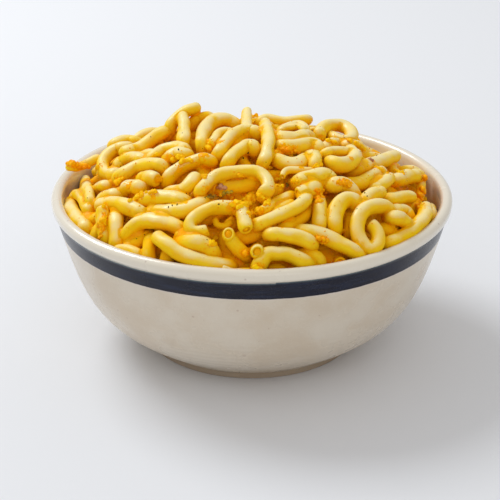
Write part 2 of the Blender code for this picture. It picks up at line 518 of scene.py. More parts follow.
centrePieces = [
    ("bigLoop", "out", 0.93, [(-26.5, -55.5, 4), (-22, -50, 4), (-17.5, -46.5, 4), (-10, -44.5, 4),
        (-2, -44, 4), (4, -45.5, 4), (7.5, -50.5, 4), (8.5, -56, 4), (6, -60, 4)]),
    ("loopCore", "out", 0.9, [(-16, -55.5, -1), (-10, -55, -1), (-4, -54.5, -1), (2, -52.5, -1),
        (6, -50, -1)]),
    ("crookLow", "out", 1.0, [(-13, -38, 3), (-11, -32.5, 3), (-8.5, -27.5, 3), (-5, -23.5, 3),
        (-2, -21, 3), (0.5, -22.5, 3), (1.5, -26, 2)]),
    ("crookHigh", "out", 1.0, [(-18, -29.5, 2), (-16, -23, 2), (-13.5, -15, 2), (-10, -8, 2), (-6, -3.5, 2),
        (-2, -2.5, 2), (2, -4, 2), (3.5, -7, 2)]),
    ("spine", "out", 0.95, [(7, 9.5, 4), (8, -3, 4), (8.5, -14.5, 4), (8, -24.5, 3), (7, -32, 2),
        (5.5, -37.5, 1)]),
    ("crownHook", "up", 1.0, [(-26, -17, -0.5), (-26.5, -6, -1), (-26, 4, -0.5), (-24, 13, 0.5),
        (-21.5, 20, 1), (-18, 23, 1.5), (-14, 25, 0.5), (-11, 26, -1.5), (-7.5, 24, -4)]),
    ("horn", "up", 0.92, [(-45.5, 19, 0.5), (-43.5, 22, 5), (-40.5, 24, 7.5), (-36.5, 25, 9.5),
        (-31.5, 26, 10)]),
    ("hornFoot", "up", 0.95, [(-37.5, 17, 7.5), (-36.5, 12, 4.5), (-36.5, 2, 1.5), (-36.5, -8, -0.5)]),
    ("hornBack", "up", 0.95, [(-33.5, 22, 1), (-31, 26, 2.5), (-28, 28, 2.5), (-24, 30, 2),
        (-21.5, 31, 0)]),
    ("peg", "up", 0.78, [(-3, 30, 3.5), (-3, 26, 0.5), (-3, 18, -2), (-3, 8, -4)]),
    ("ridge", "up", 0.8, [(30.5, 32, 3), (26.5, 32, 1.5), (22, 31, 0), (17.5, 31, -1), (13.5, 31, -1),
        (9, 32, -0.5), (6, 31, -1), (3.5, 28, -3.5)]),
    ("crownLoop", "up", 0.85, [(15, 4, -2), (18.5, 10, -1), (22, 15, 0), (25, 16, 0.5), (28, 12, 1),
        (29.5, 4, 0)]),
    ("crownPeep", "up", 0.55, [(15, 0, 0), (17, 4, 0.5), (20.5, 8, 0.5), (24.5, 9, 1.5), (27, 6, 2),
        (28, 0, 2)]),
    ("bellyHigh", "out", 1.08, [(12.5, -9, 2), (15.5, -10.5, 3), (19, -10, 3), (23, -8, 3), (26.5, -4, 3),
        (30, -0.5, 2)]),
    ("bellyLow", "out", 1.0, [(14, -20, -1), (18, -19.5, 0), (22, -18, 0), (26.5, -15, 0), (31, -11, 0),
        (34, -11.5, 0), (35, -18, -1)]),
    ("sideCurl", "out", 0.95, [(29.5, -25.5, 1), (32.5, -23.5, 1), (33, -28.5, 1), (32, -35, 1)]),
    ("smile", "out", 0.98, [(11, -32, 0), (14, -34, 1), (17.5, -35.5, 1), (21.5, -35.5, 1),
        (25.5, -32.5, 1), (28, -28.5, 1)]),
    ("tornRibbon", "out", 0.5, [(15.5, -47, 1), (16.5, -43.5, 1), (19, -41, 1), (23, -40, 1),
        (27.5, -39, 1), (32, -37.5, 1)]),
    ("bridge", "out", 1.05, [(23.5, -49, 4), (26.5, -46.5, 4), (30.5, -44, 4), (34, -41, 4), (37.5, -39, 4),
        (40, -40, 3), (41, -43, 2)]),
    ("stub", "out", 1.03, [(23, -58, 1), (26, -56, 1), (29, -53.5, 1), (32, -50.5, 1), (34.5, -47, 0)]),
    ("longSlant", "out", 0.95, [(2, -78, 3), (9.5, -74.5, 3), (16, -70.5, 3), (22, -66.5, 3), (26, -62, 3),
        (27.5, -57.5, 2)]),
    ("slantUnder", "out", 0.85, [(5, -71, 1), (11, -66, 1), (15.5, -62.5, 1), (19.5, -59.5, 1)]),
    ("slantThird", "out", 0.75, [(11, -72, 0), (16, -67, 0), (20, -64.5, 0)]),
    ("slantRight", "out", 1.0, [(14, -79, -2), (20, -75.5, -2), (25, -71, -2), (28, -65.5, -2)]),
    ("slantLow", "out", 1.0, [(-6, -84, -2), (0, -82.5, -2), (7, -79, -2), (12, -76, -2)]),
    ("spout", "out", 0.95, [(-5.5, -69, 2), (-4.5, -73, 4), (-3.5, -77, 6), (-2.5, -80.5, 7)]),
    ("crescent", "out", 0.42, [(-18.5, -73, 1), (-17, -76.5, 1), (-13, -77.5, 1), (-10, -75.5, 1)]),
    ("crook", "out", 0.95, [(-21.5, -78.5, 4), (-25, -79, 4), (-28.5, -78.5, 4), (-30.5, -76.5, 4),
        (-30.5, -73, 4), (-27.5, -70.5, 4), (-24, -68.5, 4), (-20, -67.5, 4), (-15.5, -67.5, 4),
        (-11.5, -68, 4), (-8.5, -68.5, 3)]),
    ("snout", "out", 1.0, [(-11.5, -81.5, 10), (-11, -83, 5.5), (-9, -86, 3.5), (-6, -89, 2),
        (-2, -91.5, 0)]),
    ("endOn", "out", 0.95, [(2.0, -88.5, -10), (2.4, -89.2, -3), (2.6, -89.5, 3), (2.6, -89.6, 7.5)]),
    ("rimArch", "out", 1.0, [(3, -96.5, 2), (3.5, -95, 3), (5.5, -92.5, 4), (8, -90.5, 4), (12, -90, 4),
        (16.5, -89.5, 4), (21, -90, 4), (25, -91, 4), (28.5, -91.5, 3)]),
    ("archUnder", "out", 0.9, [(8, -96, 0), (13, -95.5, 0), (17, -97, 0)]),
    ("frontTop", "out", 0.98, [(9, -82, 5), (12.5, -81.5, 5), (17.5, -81.5, 5), (22.5, -81.5, 5),
        (27, -82, 5), (30, -83, 5)]),
    ("frontLong", "out", 1.05, [(23.5, -79, 3), (27, -78, 4), (31, -77.5, 4), (35, -77.5, 4),
        (39.5, -78, 4), (44, -78.5, 4), (48.5, -78.5, 4), (52.5, -79, 3), (55.5, -79, 3)]),
    ("endOnRight", "out", 0.92, [(43.0, -84.5, -9), (43.7, -85.5, -2), (44, -86, 3), (44, -86, 8)]),
    ("frontCurl", "out", 0.95, [(24.5, -88, 1), (28.5, -88, 2), (31.5, -88, 2), (33.5, -88.5, 2),
        (34.5, -90, 1)]),
    ("frontSmall", "out", 0.85, [(22, -94, 1), (28, -92.5, 1), (34, -94, 0)]),
    ("frontTiny", "out", 0.8, [(36, -92, 0), (42, -91.5, 0)]),
    ("halfLoop", "out", 0.82, [(-20, -17.5, 1), (-19.5, -11.5, 2), (-18, -5.5, 2), (-15.5, -2.5, 3),
        (-12.5, -3.5, 2), (-9.5, -7.5, 0)]),
    ("crownRight", "out", 0.9, [(36.5, -16.5, 0), (39.5, -8, 1), (42.5, -1, 1), (46, 4, 0)]),
]

rightPieces = [
    ("post", "out", 1.0, [(34.5, -59.5, 2), (34.2, -64, 2), (34, -70, 1), (33.5, -75, -1)]),
    ("innerLoop", "out", 1.05, [(42, -73, 0), (41.5, -66, 2), (43.5, -59, 3), (47.5, -53, 3),
        (52, -51.5, 2), (54, -55, 0)]),
    ("innerShade", "out", 0.9, [(49.5, -62, -2), (49.5, -66, -2), (49.5, -72, -3)]),
    ("sixCurl", "out", 1.0, [(72, -48, 2), (69.5, -45, 3), (65, -46.5, 4), (59, -52, 4), (55, -58, 4),
        (53, -65, 3), (53.5, -71, 3), (57, -74, 4), (61, -72.5, 5), (63.5, -67.5, 6), (62.5, -62.5, 6),
        (59.5, -61, 5)]),
    ("sixBehind", "out", 1.0, [(66, -60, -2), (71, -57, -2), (75, -50, -1)]),
    ("rimLong", "out", 1.0, [(68, -66.5, 3), (74.5, -59.5, 4), (80, -52, 4), (84.5, -43, 4),
        (88.5, -33.5, 5), (91, -24.5, 6), (91.5, -20, 6)]),
    ("rimShort", "out", 0.95, [(92, -34, 2), (94.5, -25, 2), (95.5, -17, 2), (96, -12.5, 2)]),
    ("shortArch", "out", 1.05, [(55.5, -52.5, 2), (58.5, -46, 3), (62, -40.5, 3), (65.5, -35.5, 3)]),
    ("kayak", "up", 1.05, [(52, -24, -1.5), (56, -18, -2), (60, -12, -1.5), (64.5, -4, -1), (70.5, 9, 0),
        (76, 20, 3), (79.5, 27, 5.5)]),
    ("flatLoop", "out", 1.05, [(52.5, -4, 2), (54, -9.5, 3), (52, -18, 4), (48, -24, 5), (44, -26.5, 5),
        (41, -26.5, 4)]),
    ("skylineRing", "up", 0.92, [(36.5, 6, -0.5), (37, 14, 0.5), (40, 20, 3.5), (44, 25, 5), (48, 27, 6.5),
        (52, 25, 7), (54.5, 19, 6), (53.5, 12, 3.5), (50, 8, 1.5), (46.5, 8, 0.5), (44, 10, 1.5)]),
    ("besideKayak", "up", 0.95, [(54.5, 14, -9), (59.5, 18, -7), (64.5, 22, -4.5), (69.5, 25, -2.5)]),
    ("farCurl", "up", 1.05, [(75.5, -12, -0.5), (79.5, -7, 1), (83.5, -1, 3), (88, 5, 5), (91.5, 10, 7)]),
    ("cutTube", "out", 1.0, [(70, -37.5, 0), (74.5, -32.5, 1), (79.5, -25.5, 2), (85, -17.5, 3)]),
    ("ridgeCurl", "out", 0.95, [(73, -44, 0), (76, -39.5, 0), (79, -37, 0), (81, -37, 0), (82.5, -40, -1)]),
    ("ridgeUnder", "out", 0.95, [(70.5, -49.5, 2), (75, -46.5, 2), (78.5, -45.5, 2), (81, -45.5, 2)]),
    ("shoulder", "out", 1.05, [(40, -46, 0), (44, -43.5, 1), (47.5, -42, 2), (50.5, -43.5, 2),
        (52.5, -46.5, 1), (53.5, -50, 0)]),
    ("slope", "out", 0.95, [(47.5, -41, 0), (52, -38.5, 1), (56.5, -34.5, 1), (60, -28.5, 1),
        (64.5, -21, 1), (69, -11, 0)]),
    ("slopeUpper", "out", 1.0, [(62.5, -38, 1), (66, -30.5, 2), (69.5, -22.5, 3), (73, -13.5, 4)]),
    ("flatTop", "out", 0.75, [(37.5, -19.5, 1), (41, -14.5, 2), (45.5, -10.5, 3), (49.5, -7.5, 3),
        (52, -6, 2)]),
    ("farBack", "up", 0.8, [(80.5, 24, -3), (84, 26, 0), (88, 28, 3.5), (92, 28, 5.5)]),
    ("ringFoot", "up", 0.85, [(50.5, 4, 0.5), (54, 8, 0.5), (58, 12, 1)]),
    ("crustPost", "up", 0.62, [(92.5, 12, 7), (92.5, 7, 3.5), (91, -2, -0.5), (89, -10, -5)]),
]

leftPieces = [
    ("leftLoop", "up", 0.97, [(-67.5, 14, 4), (-72.5, 17, 6), (-77, 16, 7), (-80, 12, 6.5), (-81, 6, 4),
        (-79.5, 0, 1.5), (-75.5, -6, -0.5), (-71.5, -11, -0.5)]),
    ("leftBack", "up", 0.9, [(-76.5, 22, 10.5), (-71, 26, 8.5), (-66, 26, 5.5), (-63.5, 24, 3.5)]),
    ("leftArm", "up", 0.92, [(-68.5, 4, 5.5), (-64.5, 8, 2.5), (-60, 12, 1), (-55.5, 15, 1.5),
        (-50.5, 17, 2.5), (-46, 18, 3)]),
    ("loopInner", "out", 0.9, [(-73, 0, 2), (-71, 4.5, 3), (-67, 5, 3), (-62.5, -0.5, 3), (-56.5, -12, 2)]),
    ("edgeTop", "up", 0.62, [(-99, 6, 20), (-95, 9, 14.5), (-90.5, 13, 11), (-84.5, 16, 9)]),
    ("edgeDown", "out", 0.85, [(-94.5, 37.5, 4), (-88.5, -3.5, 4), (-86, -18, 3), (-84, -29, 2)]),
    ("edgeInner", "out", 0.8, [(-97, 2.5, 4), (-95, 4, 4), (-90.5, -10.5, 4), (-87, -25.5, 3),
        (-85, -33.5, 2)]),
    ("cornerLow", "out", 0.95, [(-85, -38, 2), (-82, -42, 3), (-78, -42, 2)]),
    ("orangeTube", "out", 0.95, [(-77, -38, 4), (-76.5, -46, 3), (-75.5, -54, 2), (-74, -61, 0)]),
    ("orangeSide", "out", 0.9, [(-78.5, -50, 3), (-81.5, -55, 2), (-80.5, -60, 0)]),
    ("upright", "out", 0.98, [(-69.5, -50, 4), (-69.3, -56, 3), (-69, -62, 1), (-68.5, -68, -1)]),
    ("leftSwan", "out", 0.95, [(-79.5, -31.5, 2), (-77, -30, 2), (-72.5, -32, 3), (-68.5, -35.5, 1)]),
    ("leftLong", "out", 1.05, [(-80, -33, 4), (-72, -40, 4), (-65, -47, 3), (-59, -54, 2),
        (-54.5, -60, 0)]),
    ("leftKnee", "out", 1.0, [(-67, -35, 1), (-64.5, -32.5, 3), (-60, -36, 3), (-56.5, -40.5, 2)]),
    ("bean", "out", 1.05, [(-57, -31, 2), (-52.5, -34, 4), (-48.5, -38, 3)]),
    ("leftBar", "out", 1.0, [(-71, -17.5, 2), (-66, -16.5, 3), (-60.5, -16, 3), (-54, -19.5, 3),
        (-48.5, -24, 2), (-45.5, -28.5, 0)]),
    ("leftBow", "out", 0.98, [(-54, -14, 2), (-48, -9, 3), (-42, -9, 3), (-37, -13.5, 3), (-34.5, -20, 2)]),
    ("bowEnd", "out", 0.95, [(-44, -20, 3), (-39, -18, 4), (-34, -22, 3)]),
    ("midSweep", "out", 0.98, [(-44, -42, -1), (-42, -37.5, 1), (-37, -33.5, 2), (-31, -31, 3),
        (-25, -30, 3), (-21.5, -33, 2)]),
    ("midArc", "out", 0.98, [(-43, -51, 0), (-35.5, -52, 2), (-31, -48, 3), (-28.5, -43, 3)]),
    ("beltTop", "out", 1.05, [(-58.5, -49, 2), (-52, -50, 3), (-46, -52.5, 3), (-39.5, -55.5, 3),
        (-33.5, -60, 2)]),
    ("beltLow", "out", 1.05, [(-50, -60, 0), (-41, -63.5, 1), (-33, -65, 1), (-25, -63, 0)]),
    ("frontArch", "out", 1.08, [(-64, -66, 3), (-60, -63.5, 4), (-54, -63, 4), (-47, -66.5, 4),
        (-40.5, -70.5, 4), (-34, -76, 3)]),
    ("archShade", "out", 0.95, [(-62, -72, 0), (-57, -71.5, 0), (-52, -71, 0)]),
    ("frontSlide", "out", 0.95, [(-46.5, -75, 6), (-41.5, -80, 6), (-37, -84.5, 5), (-30.5, -88.5, 5),
        (-24, -91.5, 4), (-17, -93.5, 3), (-10, -95, 1)]),
    ("slideBump", "out", 1.1, [(-37, -82, 1), (-32, -82, 2), (-26.5, -83.5, 3), (-21.5, -86.5, 2),
        (-18, -90.5, 0)]),
    ("slideTop", "out", 0.8, [(-38, -77.5, 1), (-33, -78.5, 1), (-28, -79, 0)]),
    ("slidePost", "out", 0.95, [(-51, -74, 1), (-51.5, -79, 1), (-52, -84, 0)]),
    ("slideLeg", "out", 0.95, [(-41, -83, 2), (-42.5, -87, 1), (-44, -91, -1)]),
    ("rimSlope", "out", 0.9, [(-69, -69, 1), (-62, -73.5, 1), (-55.5, -79, 1)]),
    ("rimStrip", "out", 0.42, [(-14.5, -95, 2), (-12, -96, 2), (-8.5, -96.5, 2), (-4.5, -96.5, 2),
        (-0.5, -96.5, 2)]),
    ("cornerKnob", "out", 1.08, [(-101, 3, 8), (-98, -10, 7), (-93, -26, 5), (-88, -39, 4),
        (-84.5, -47, 3)]),
    ("leftShade", "out", 0.85, [(-83, -14, 0), (-80, -14.5, 0), (-76, -19, 0)]),
]

# ends that lie bare; every other end of a shown piece turns in under its neighbours
bareEnds = {
   "endOn": "both", "endOnRight": "both", "spout": "last", "snout": "first", "kayak": "last",
    "cutTube": "last", "stub": "first", "crook": "first", "rimStrip": "both", "crescent": "both",
    "tornRibbon": "both", "sixCurl": "last", "slopeUpper": "last", "leftLong": "first", "bean": "last",
    "orangeTube": "first", "midArc": "last", "slideTop": "both", "crustPost": "both",
}

# how far the ends of some pieces stand open; the others have swollen almost shut
openPieces = {
   "endOn": 1.0, "endOnRight": 1.0, "spout": 0.9, "snout": 0.85, "kayak": 0.75, "cutTube": 0.9, "stub": 0.8,
    "crook": 0.35, "hornFoot": 0.5, "cornerKnob": 0.1, "sixCurl": 0.4, "bridge": 0.4, "rimStrip": 0.0,
}

macaroni = {
    "radius": 0.00388,
    "hollowDepth": 0.0065,
    "beads": 18,  # spheres per piece while the heap settles
    "shutOpenness": 0.15,
    "restGap": 0.94,
    "sunkOver": 0.010,
    "crestCell": 0.0014,
    "crestCells": 230,
    "crestReach": 0.16,
    "crestScale": 0.85,
    "tuckBack": -0.55,
    "tuckDepth": 2.2,
    "edgeHeight": 0.0742,
    "rise": 0.0450,
    "heapRadius": 0.1001,
    "steepFront": 0.70,
    "steepBack": 1.05,
    "backCount": 50,
    "underFrontCount": 60,
    "underBackCount": 34,
    "deepCount": 60,
    "hiddenWithin": 0.094,
    "hiddenSizes": (0.90, 1.05),
    "hiddenLengths": (0.034, 0.058),
    "tightShare": 0.85,
    "tightBends": (0.0095, 0.019),
    "wideBends": (0.03, 0.06),
    "triesPerPiece": 14,
    "seed": 23,
}

settling = {
    "rounds": 220,
    "pairsEvery": 8,
    "shownLightness": 0.06,  # how easily a shown piece gives way beside a hidden one
    "shove": 1.25,
    "shownShove": 0.8,
    "heldWithin": 0.092,
    "cover": 0.85,  # hidden pieces stay this much of their radius under the surface
    "coverPull": 0.5,
    "depthPull": 0.03,
    "shownBend": 0.96,
    "hiddenBend": 0.6,
    "homeSideways": 0.40,
    "homeForwards": 0.01,
}

frontward = np.array([0.0, -0.911, 0.412])
upward = np.array([0.0, 0.0, 1.0])


def heapSurface(x, y):
    away = np.minimum(1.0, np.hypot(x, y) / macaroni["heapRadius"])
    back = 0.5 + 0.5 * np.sin(np.arctan2(y, x))
    steep = macaroni["steepFront"] + (macaroni["steepBack"] - macaroni["steepFront"]) * back
    return macaroni["edgeHeight"] + macaroni["rise"] * np.maximum(0.0, 1 - away * away) ** steep


def heapNormal(x, y):
    step = 0.002
    slopeX = (heapSurface(x + step, y) - heapSurface(x - step, y)) / (2 * step)
    slopeY = (heapSurface(x, y + step) - heapSurface(x, y - step)) / (2 * step)
    normal = np.stack([-slopeX, -slopeY, np.ones_like(slopeX)], -1)
    return normal / np.linalg.norm(normal, axis=-1, keepdims=True)


def smoothPath(points, count):
    # a rounded curve through the points, then even steps along it
    points = np.asarray(points, float)
    ends = np.vstack([2 * points[0] - points[1], points, 2 * points[-1] - points[-2]])
    t = np.linspace(0, 1, 12, endpoint=False)[:, None]
    dense = []
    for a, b, c, d in zip(ends, ends[1:], ends[2:], ends[3:]):
        dense.append(0.5 * (2 * b + (c - a) * t + (2 * a - 5 * b + 4 * c - d) * t ** 2
                            + (3 * b - a - 3 * c + d) * t ** 3))
    dense = np.vstack(dense + [points[-1:]])
    travelled = np.concatenate([[0], np.cumsum(np.linalg.norm(np.diff(dense, axis=0), axis=1))])
    stops = np.linspace(0, travelled[-1], count)
    return np.stack([np.interp(stops, travelled, dense[:, k]) for k in range(3)], 1)


def tuckEnd(line, ahead, size):
    # the last stretch turns in away from the front, so the piece ends under its neighbours
    ahead = ahead - (ahead @ frontward) * frontward
    ahead = ahead / np.linalg.norm(ahead)
    turned = line + ahead * size * macaroni["tuckBack"]
    return [turned, turned + ahead * size * 0.55 - frontward * size * 0.9,
            turned + ahead * size * 0.75 - frontward * size * macaroni["tuckDepth"]]


def placeShownPieces():
    paths, sizes, openness = [], [], []
    for name, lean, size, points in centrePieces + rightPieces + leftPieces:
        spots = np.array(points, float) * mm
        base = np.stack([spots[:, 0], spots[:, 1], heapSurface(spots[:, 0], spots[:, 1])], 1)
        line = base + spots[:, 2:] * (frontward if lean == "out" else upward)
        radius = macaroni["radius"] * size
        bare = bareEnds.get(name, "")
        start, middle, end = [line[0]], list(line[1:-1]), [line[-1]]
        if bare not in ("first", "both"):
            start = tuckEnd(line[0], line[0] - line[1], radius)[::-1]
        if bare not in ("last", "both"):
            end = tuckEnd(line[-1], line[-1] - line[-2], radius)
        paths.append(smoothPath(start + middle + end, macaroni["beads"]))
        sizes.append(radius)
        openness.append(openPieces.get(name, macaroni["shutOpenness"]))
    return paths, sizes, openness


def randomElbow(draw):
    # one bent piece lying flat, centred on its own middle
    length = draw.uniform(*macaroni["hiddenLengths"])
    kind = "tightBends" if draw.random() < macaroni["tightShare"] else "wideBends"
    bend = draw.uniform(*macaroni[kind])
    sweep = min(length / bend, math.radians(250))
    turns = (np.linspace(0, 1, macaroni["beads"]) - 0.5) * sweep
    bend = length / sweep
    path = np.stack([bend * np.sin(turns), bend * np.cos(turns), draw.uniform(-0.0022, 0.0022) * turns], 1)
    return path - path.mean(0)


def roomiestSpot(draw, centres, allowed):
    # the best of a few tries: the one farthest from the pieces already laid
    best, bestGap = None, -1.0
    for _ in range(macaroni["triesPerPiece"]):
        spin, away = draw.uniform(0, 2 * math.pi), macaroni["hiddenWithin"] * math.sqrt(draw.random())
        x, y = away * math.cos(spin), away * math.sin(spin)
        if not allowed(x, y):
            continue
        gap = min((math.hypot(x - a, y - b) for a, b in centres), default=1.0)
        if gap > bestGap:
            best, bestGap = (x, y), gap
    return best


def layElbow(draw, x, y, down, tilt):
    # one bent piece, laid along the heap's slope at its own depth and turned at random
    normal = heapNormal(np.array(x), np.array(y))
    centre = np.array([x, y, heapSurface(x, y)]) - normal * down
    turn = Vector(normal).to_track_quat("Z", "Y").to_matrix()
    roll = Matrix.Rotation(draw.uniform(0, 2 * math.pi), 3, "Z")
    lean = Matrix.Rotation(draw.gauss(0, tilt), 3, "X")
    turned = np.array(turn @ roll @ lean)
    return centre + randomElbow(draw) @ turned.T


def placeHiddenPieces():
    draw = random.Random(macaroni["seed"])
    layers = [
        # how many, depth under the surface, how unevenly, how tilted, where
        (macaroni["backCount"], 0.0030, 0.0016, 0.35, lambda x, y: y > 0.037 - 0.10 * abs(x)),
        (macaroni["underFrontCount"], 0.0086, 0.0016, 0.30, lambda x, y: y < 0.040),
        (macaroni["underBackCount"], 0.0110, 0.0016, 0.30, lambda x, y: y > 0.030),
        (macaroni["deepCount"], 0.0175, 0.0016, 0.25, lambda x, y: True),
    ]
    paths, sizes, openness, depths = [], [], [], []
    for count, depth, uneven, tilt, allowed in layers:
        centres = []
        while len(centres) < count:
            spot = roomiestSpot(draw, centres, allowed)
            if spot is None:
                continue
            centres.append(spot)
            down = depth + draw.gauss(0, uneven)
            paths.append(layElbow(draw, *spot, down, tilt))
            sizes.append(macaroni["radius"] * draw.uniform(*macaroni["hiddenSizes"]))
            openness.append(draw.random() ** 2)
            depths.append(down)
    return paths, sizes, openness, depths


def keepInBowl(beads, sizes, wall):
    # pushes beads off the bowl's inner wall and off its round lip
    away = np.maximum(np.hypot(beads[:, 0], beads[:, 1]), 1e-9)
    high = beads[:, 2]
    inner = np.interp(high, wall[:, 1], wall[:, 0])
    slope = np.interp(high, wall[1:, 1], np.diff(wall[:, 0]) / np.maximum(np.diff(wall[:, 1]), 1e-9))
    steep = np.sqrt(1 + slope ** 2)
    room = (inner - away) / steep
    below = high < wall[-1, 1]
    push = np.where(below, np.minimum(room - sizes, 0.0), 0.0)
    moved = beads.copy()
    moved[:, :2] += (beads[:, :2] / away[:, None]) * (push / steep)[:, None]
    moved[:, 2] -= push * slope / steep
    half = bowlShape["lipThickness"] / 2
    ringAway, ringHigh = away - (bowlShape["rimRadius"] - half), high - (bowlShape["rimHeight"] - half)
    gap = np.hypot(ringAway, ringHigh)
    short = np.where(~below, np.maximum(half + sizes - gap, 0.0), 0.0)
    scale = short / np.maximum(gap, 1e-6)
    moved[:, :2] += (beads[:, :2] / away[:, None]) * (ringAway * scale)[:, None]
    moved[:, 2] += ringHigh * scale
    return moved


def closePairs(flat, owner):
    # beads of different pieces that lie close enough to meet in the next few rounds
    squared = (flat ** 2).sum(1)
    apart = squared[:, None] + squared[None, :] - 2 * flat @ flat.T
    near = apart < (2 * macaroni["radius"] * 1.08 + 0.003) ** 2
    first, second = np.nonzero(np.triu(near, 1))
    keep = owner[first] != owner[second]
    return first[keep], second[keep]


def shoveApart(flat, first, second, radii, hidden):
    # two shown pieces only part along the direction the heap leans, so its pattern stays
    lightness = np.where(hidden, 1.0, settling["shownLightness"])
    bothShown = ~hidden[first] & ~hidden[second]
    between = flat[second] - flat[first]
    reach = macaroni["restGap"] * (radii[first] + radii[second])
    gap = np.maximum(np.linalg.norm(between, axis=1), 1e-6)
    outward = between @ frontward
    sideways = np.sqrt(np.maximum(gap ** 2 - outward ** 2, 0))
    needed = np.sqrt(np.maximum(reach ** 2 - sideways ** 2, 0)) - np.abs(outward)
    forwards = np.sign(outward + 1e-9)[:, None] * frontward * needed[:, None] * settling["shownShove"]
    way = np.where(bothShown[:, None], forwards, between / gap[:, None] * (reach - gap)[:, None])
    touching = gap < reach
    a, b, way = first[touching], second[touching], way[touching]
    share = lightness[a] / (lightness[a] + lightness[b])
    move = np.zeros_like(flat)
    hits = np.bincount(a, minlength=len(flat)) + np.bincount(b, minlength=len(flat))
    for k in range(3):
        move[:, k] -= np.bincount(a, way[:, k] * share, minlength=len(flat))
        move[:, k] += np.bincount(b, way[:, k] * (1 - share), minlength=len(flat))
    return flat + settling["shove"] * move / np.maximum(hits, 1)[:, None]


def holdDepth(flat, depthGoal, radii, hidden):
    # hidden pieces drift back to the depth they belong at
    high = heapSurface(flat[:, 0], flat[:, 1])
    normal = heapNormal(flat[:, 0], flat[:, 1])
    depth = (high - flat[:, 2]) * normal[:, 2]
    held = hidden & (np.hypot(flat[:, 0], flat[:, 1]) < settling["heldWithin"])
    tooHigh = np.minimum(depth - radii * settling["cover"], 0.0)
    drift = (depth - depthGoal) * settling["depthPull"] + tooHigh * settling["coverPull"]
    return flat + normal * np.where(held, drift, 0.0)[:, None]


def keepShape(beads, start, rest, shown):
    # each piece goes back to its own bent shape, and what is left of the shove is spread along it
    centre = beads.mean(1, keepdims=True)
    mix = np.einsum("nki,nkj->nij", beads - centre, rest)
    u, _, vt = np.linalg.svd(mix)
    flip = np.sign(np.linalg.det(u @ vt))
    u[:, :, 2] *= flip[:, None]
    goal = centre + np.einsum("nij,nkj->nki", u @ vt, rest)
    goal = np.where(shown, start + (centre - start.mean(1, keepdims=True)), goal)
    left = beads - goal
    for _ in range(3):
        padded = np.concatenate([left[:, :1], left, left[:, -1:]], 1)
        left = 0.25 * padded[:, :-2] + 0.5 * left + 0.25 * padded[:, 2:]
    beads = goal + left * np.where(shown, settling["shownBend"], settling["hiddenBend"])
    drift = start - beads
    along = (drift @ frontward)[..., None] * frontward
    home = settling["homeSideways"] * (drift - along) + settling["homeForwards"] * along
    return beads + np.where(shown, home, 0.0)


def settle(paths, sizes, shownCount, depths):
    # the pieces shove one another apart like stiff rubber, until neighbours only press lightly together
    beads = np.array(paths)
    pieces, perPiece = beads.shape[:2]
    start = beads.copy()
    rest = beads - beads.mean(1, keepdims=True)
    radii = np.repeat(np.array(sizes), perPiece)
    owner = np.repeat(np.arange(pieces), perPiece)
    hidden = owner >= shownCount
    shown = (np.arange(pieces) < shownCount)[:, None, None]
    depthGoal = np.repeat(np.concatenate([np.zeros(shownCount), depths]), perPiece)
    wall = innerWall(bowlShape["lipThickness"], bowlShape["lipThickness"] / 2)
    for step in range(settling["rounds"]):
        flat = beads.reshape(-1, 3)
        if step % settling["pairsEvery"] == 0:
            first, second = closePairs(flat, owner)
        flat = shoveApart(flat, first, second, radii, hidden)
        flat = holdDepth(flat, depthGoal, radii, hidden)
        flat = keepInBowl(flat, radii * 0.98, wall)
        beads = keepShape(flat.reshape(pieces, perPiece, 3), start, rest, shown)
    return beads


def makePaths(name, beads, sizes, openness):
    # one chain of points per piece, each point with the tube's size and how open its ends are
    perPath = 48
    points, edges, widths, opens = [], [], [], []
    for path, size, gape in zip(beads, sizes, openness):
        line = smoothPath(path, perPath)
        first = len(points)
        points += line.tolist()
        edges += [(first + i, first + i + 1) for i in range(perPath - 1)]
        length = np.linalg.norm(np.diff(line, axis=0), axis=1).sum()
        toEnd = length * np.minimum(np.linspace(0, 1, perPath), np.linspace(1, 0, perPath))
        widths += (size * (1 - 0.07 * np.exp(-(toEnd / 0.005) ** 2))).tolist()
        opens += [gape] * perPath
    mesh = bpy.data.meshes.new(name)
    mesh.from_pydata(points, edges, [])
    mark(mesh, "tubeRadius", widths)
    mark(mesh, "openness", opens)
    return putInScene(name, mesh)


# geometry trees: the steps that several of them share

def newTree(name, *inputs):
    tree = bpy.data.node_groups.new(name, "GeometryNodeTree")
    tree.interface.new_socket("Geometry", in_out="INPUT", socket_type="NodeSocketGeometry")
    for label, kind, value in inputs:
        socket = tree.interface.new_socket(label, in_out="INPUT", socket_type="NodeSocket" + kind)
        if value is not None:
            socket.default_value = value
    tree.interface.new_socket("Geometry", in_out="OUTPUT", socket_type="NodeSocketGeometry")
    return tree, tree.nodes.new("NodeGroupInput"), tree.nodes.new("NodeGroupOutput")


def through(tree, kind, geometry, **inputs):
    # one step that the geometry passes through
    node = addNode(tree, kind)
    feed(tree, geometry, node.inputs[0])
    for label, value in inputs.items():
        feed(tree, value, node.inputs[label])
    return node.outputs[0]


def storeNumber(tree, geometry, name, value, kind="FLOAT"):
    node = addNode(tree, "GeometryNodeStoreNamedAttribute", data_type=kind, domain="POINT")
    feed(tree, geometry, node.inputs["Geometry"])
    node.inputs["Name"].default_value = name
    feed(tree, value, node.inputs["Value"])
    return node.outputs[0]


def readNumber(tree, name):
    node = addNode(tree, "GeometryNodeInputNamedAttribute", data_type="FLOAT")
    node.inputs["Name"].default_value = name
    return node.outputs["Attribute"]


def dress(tree, geometry, given, result):
    # last steps of every tree: copies become real shape, then get their material
    real = through(tree, "GeometryNodeRealizeInstances", geometry)
    dressed = through(tree, "GeometryNodeSetMaterial", real, Material=given.outputs["Material"])
    feed(tree, dressed, result.inputs["Geometry"])


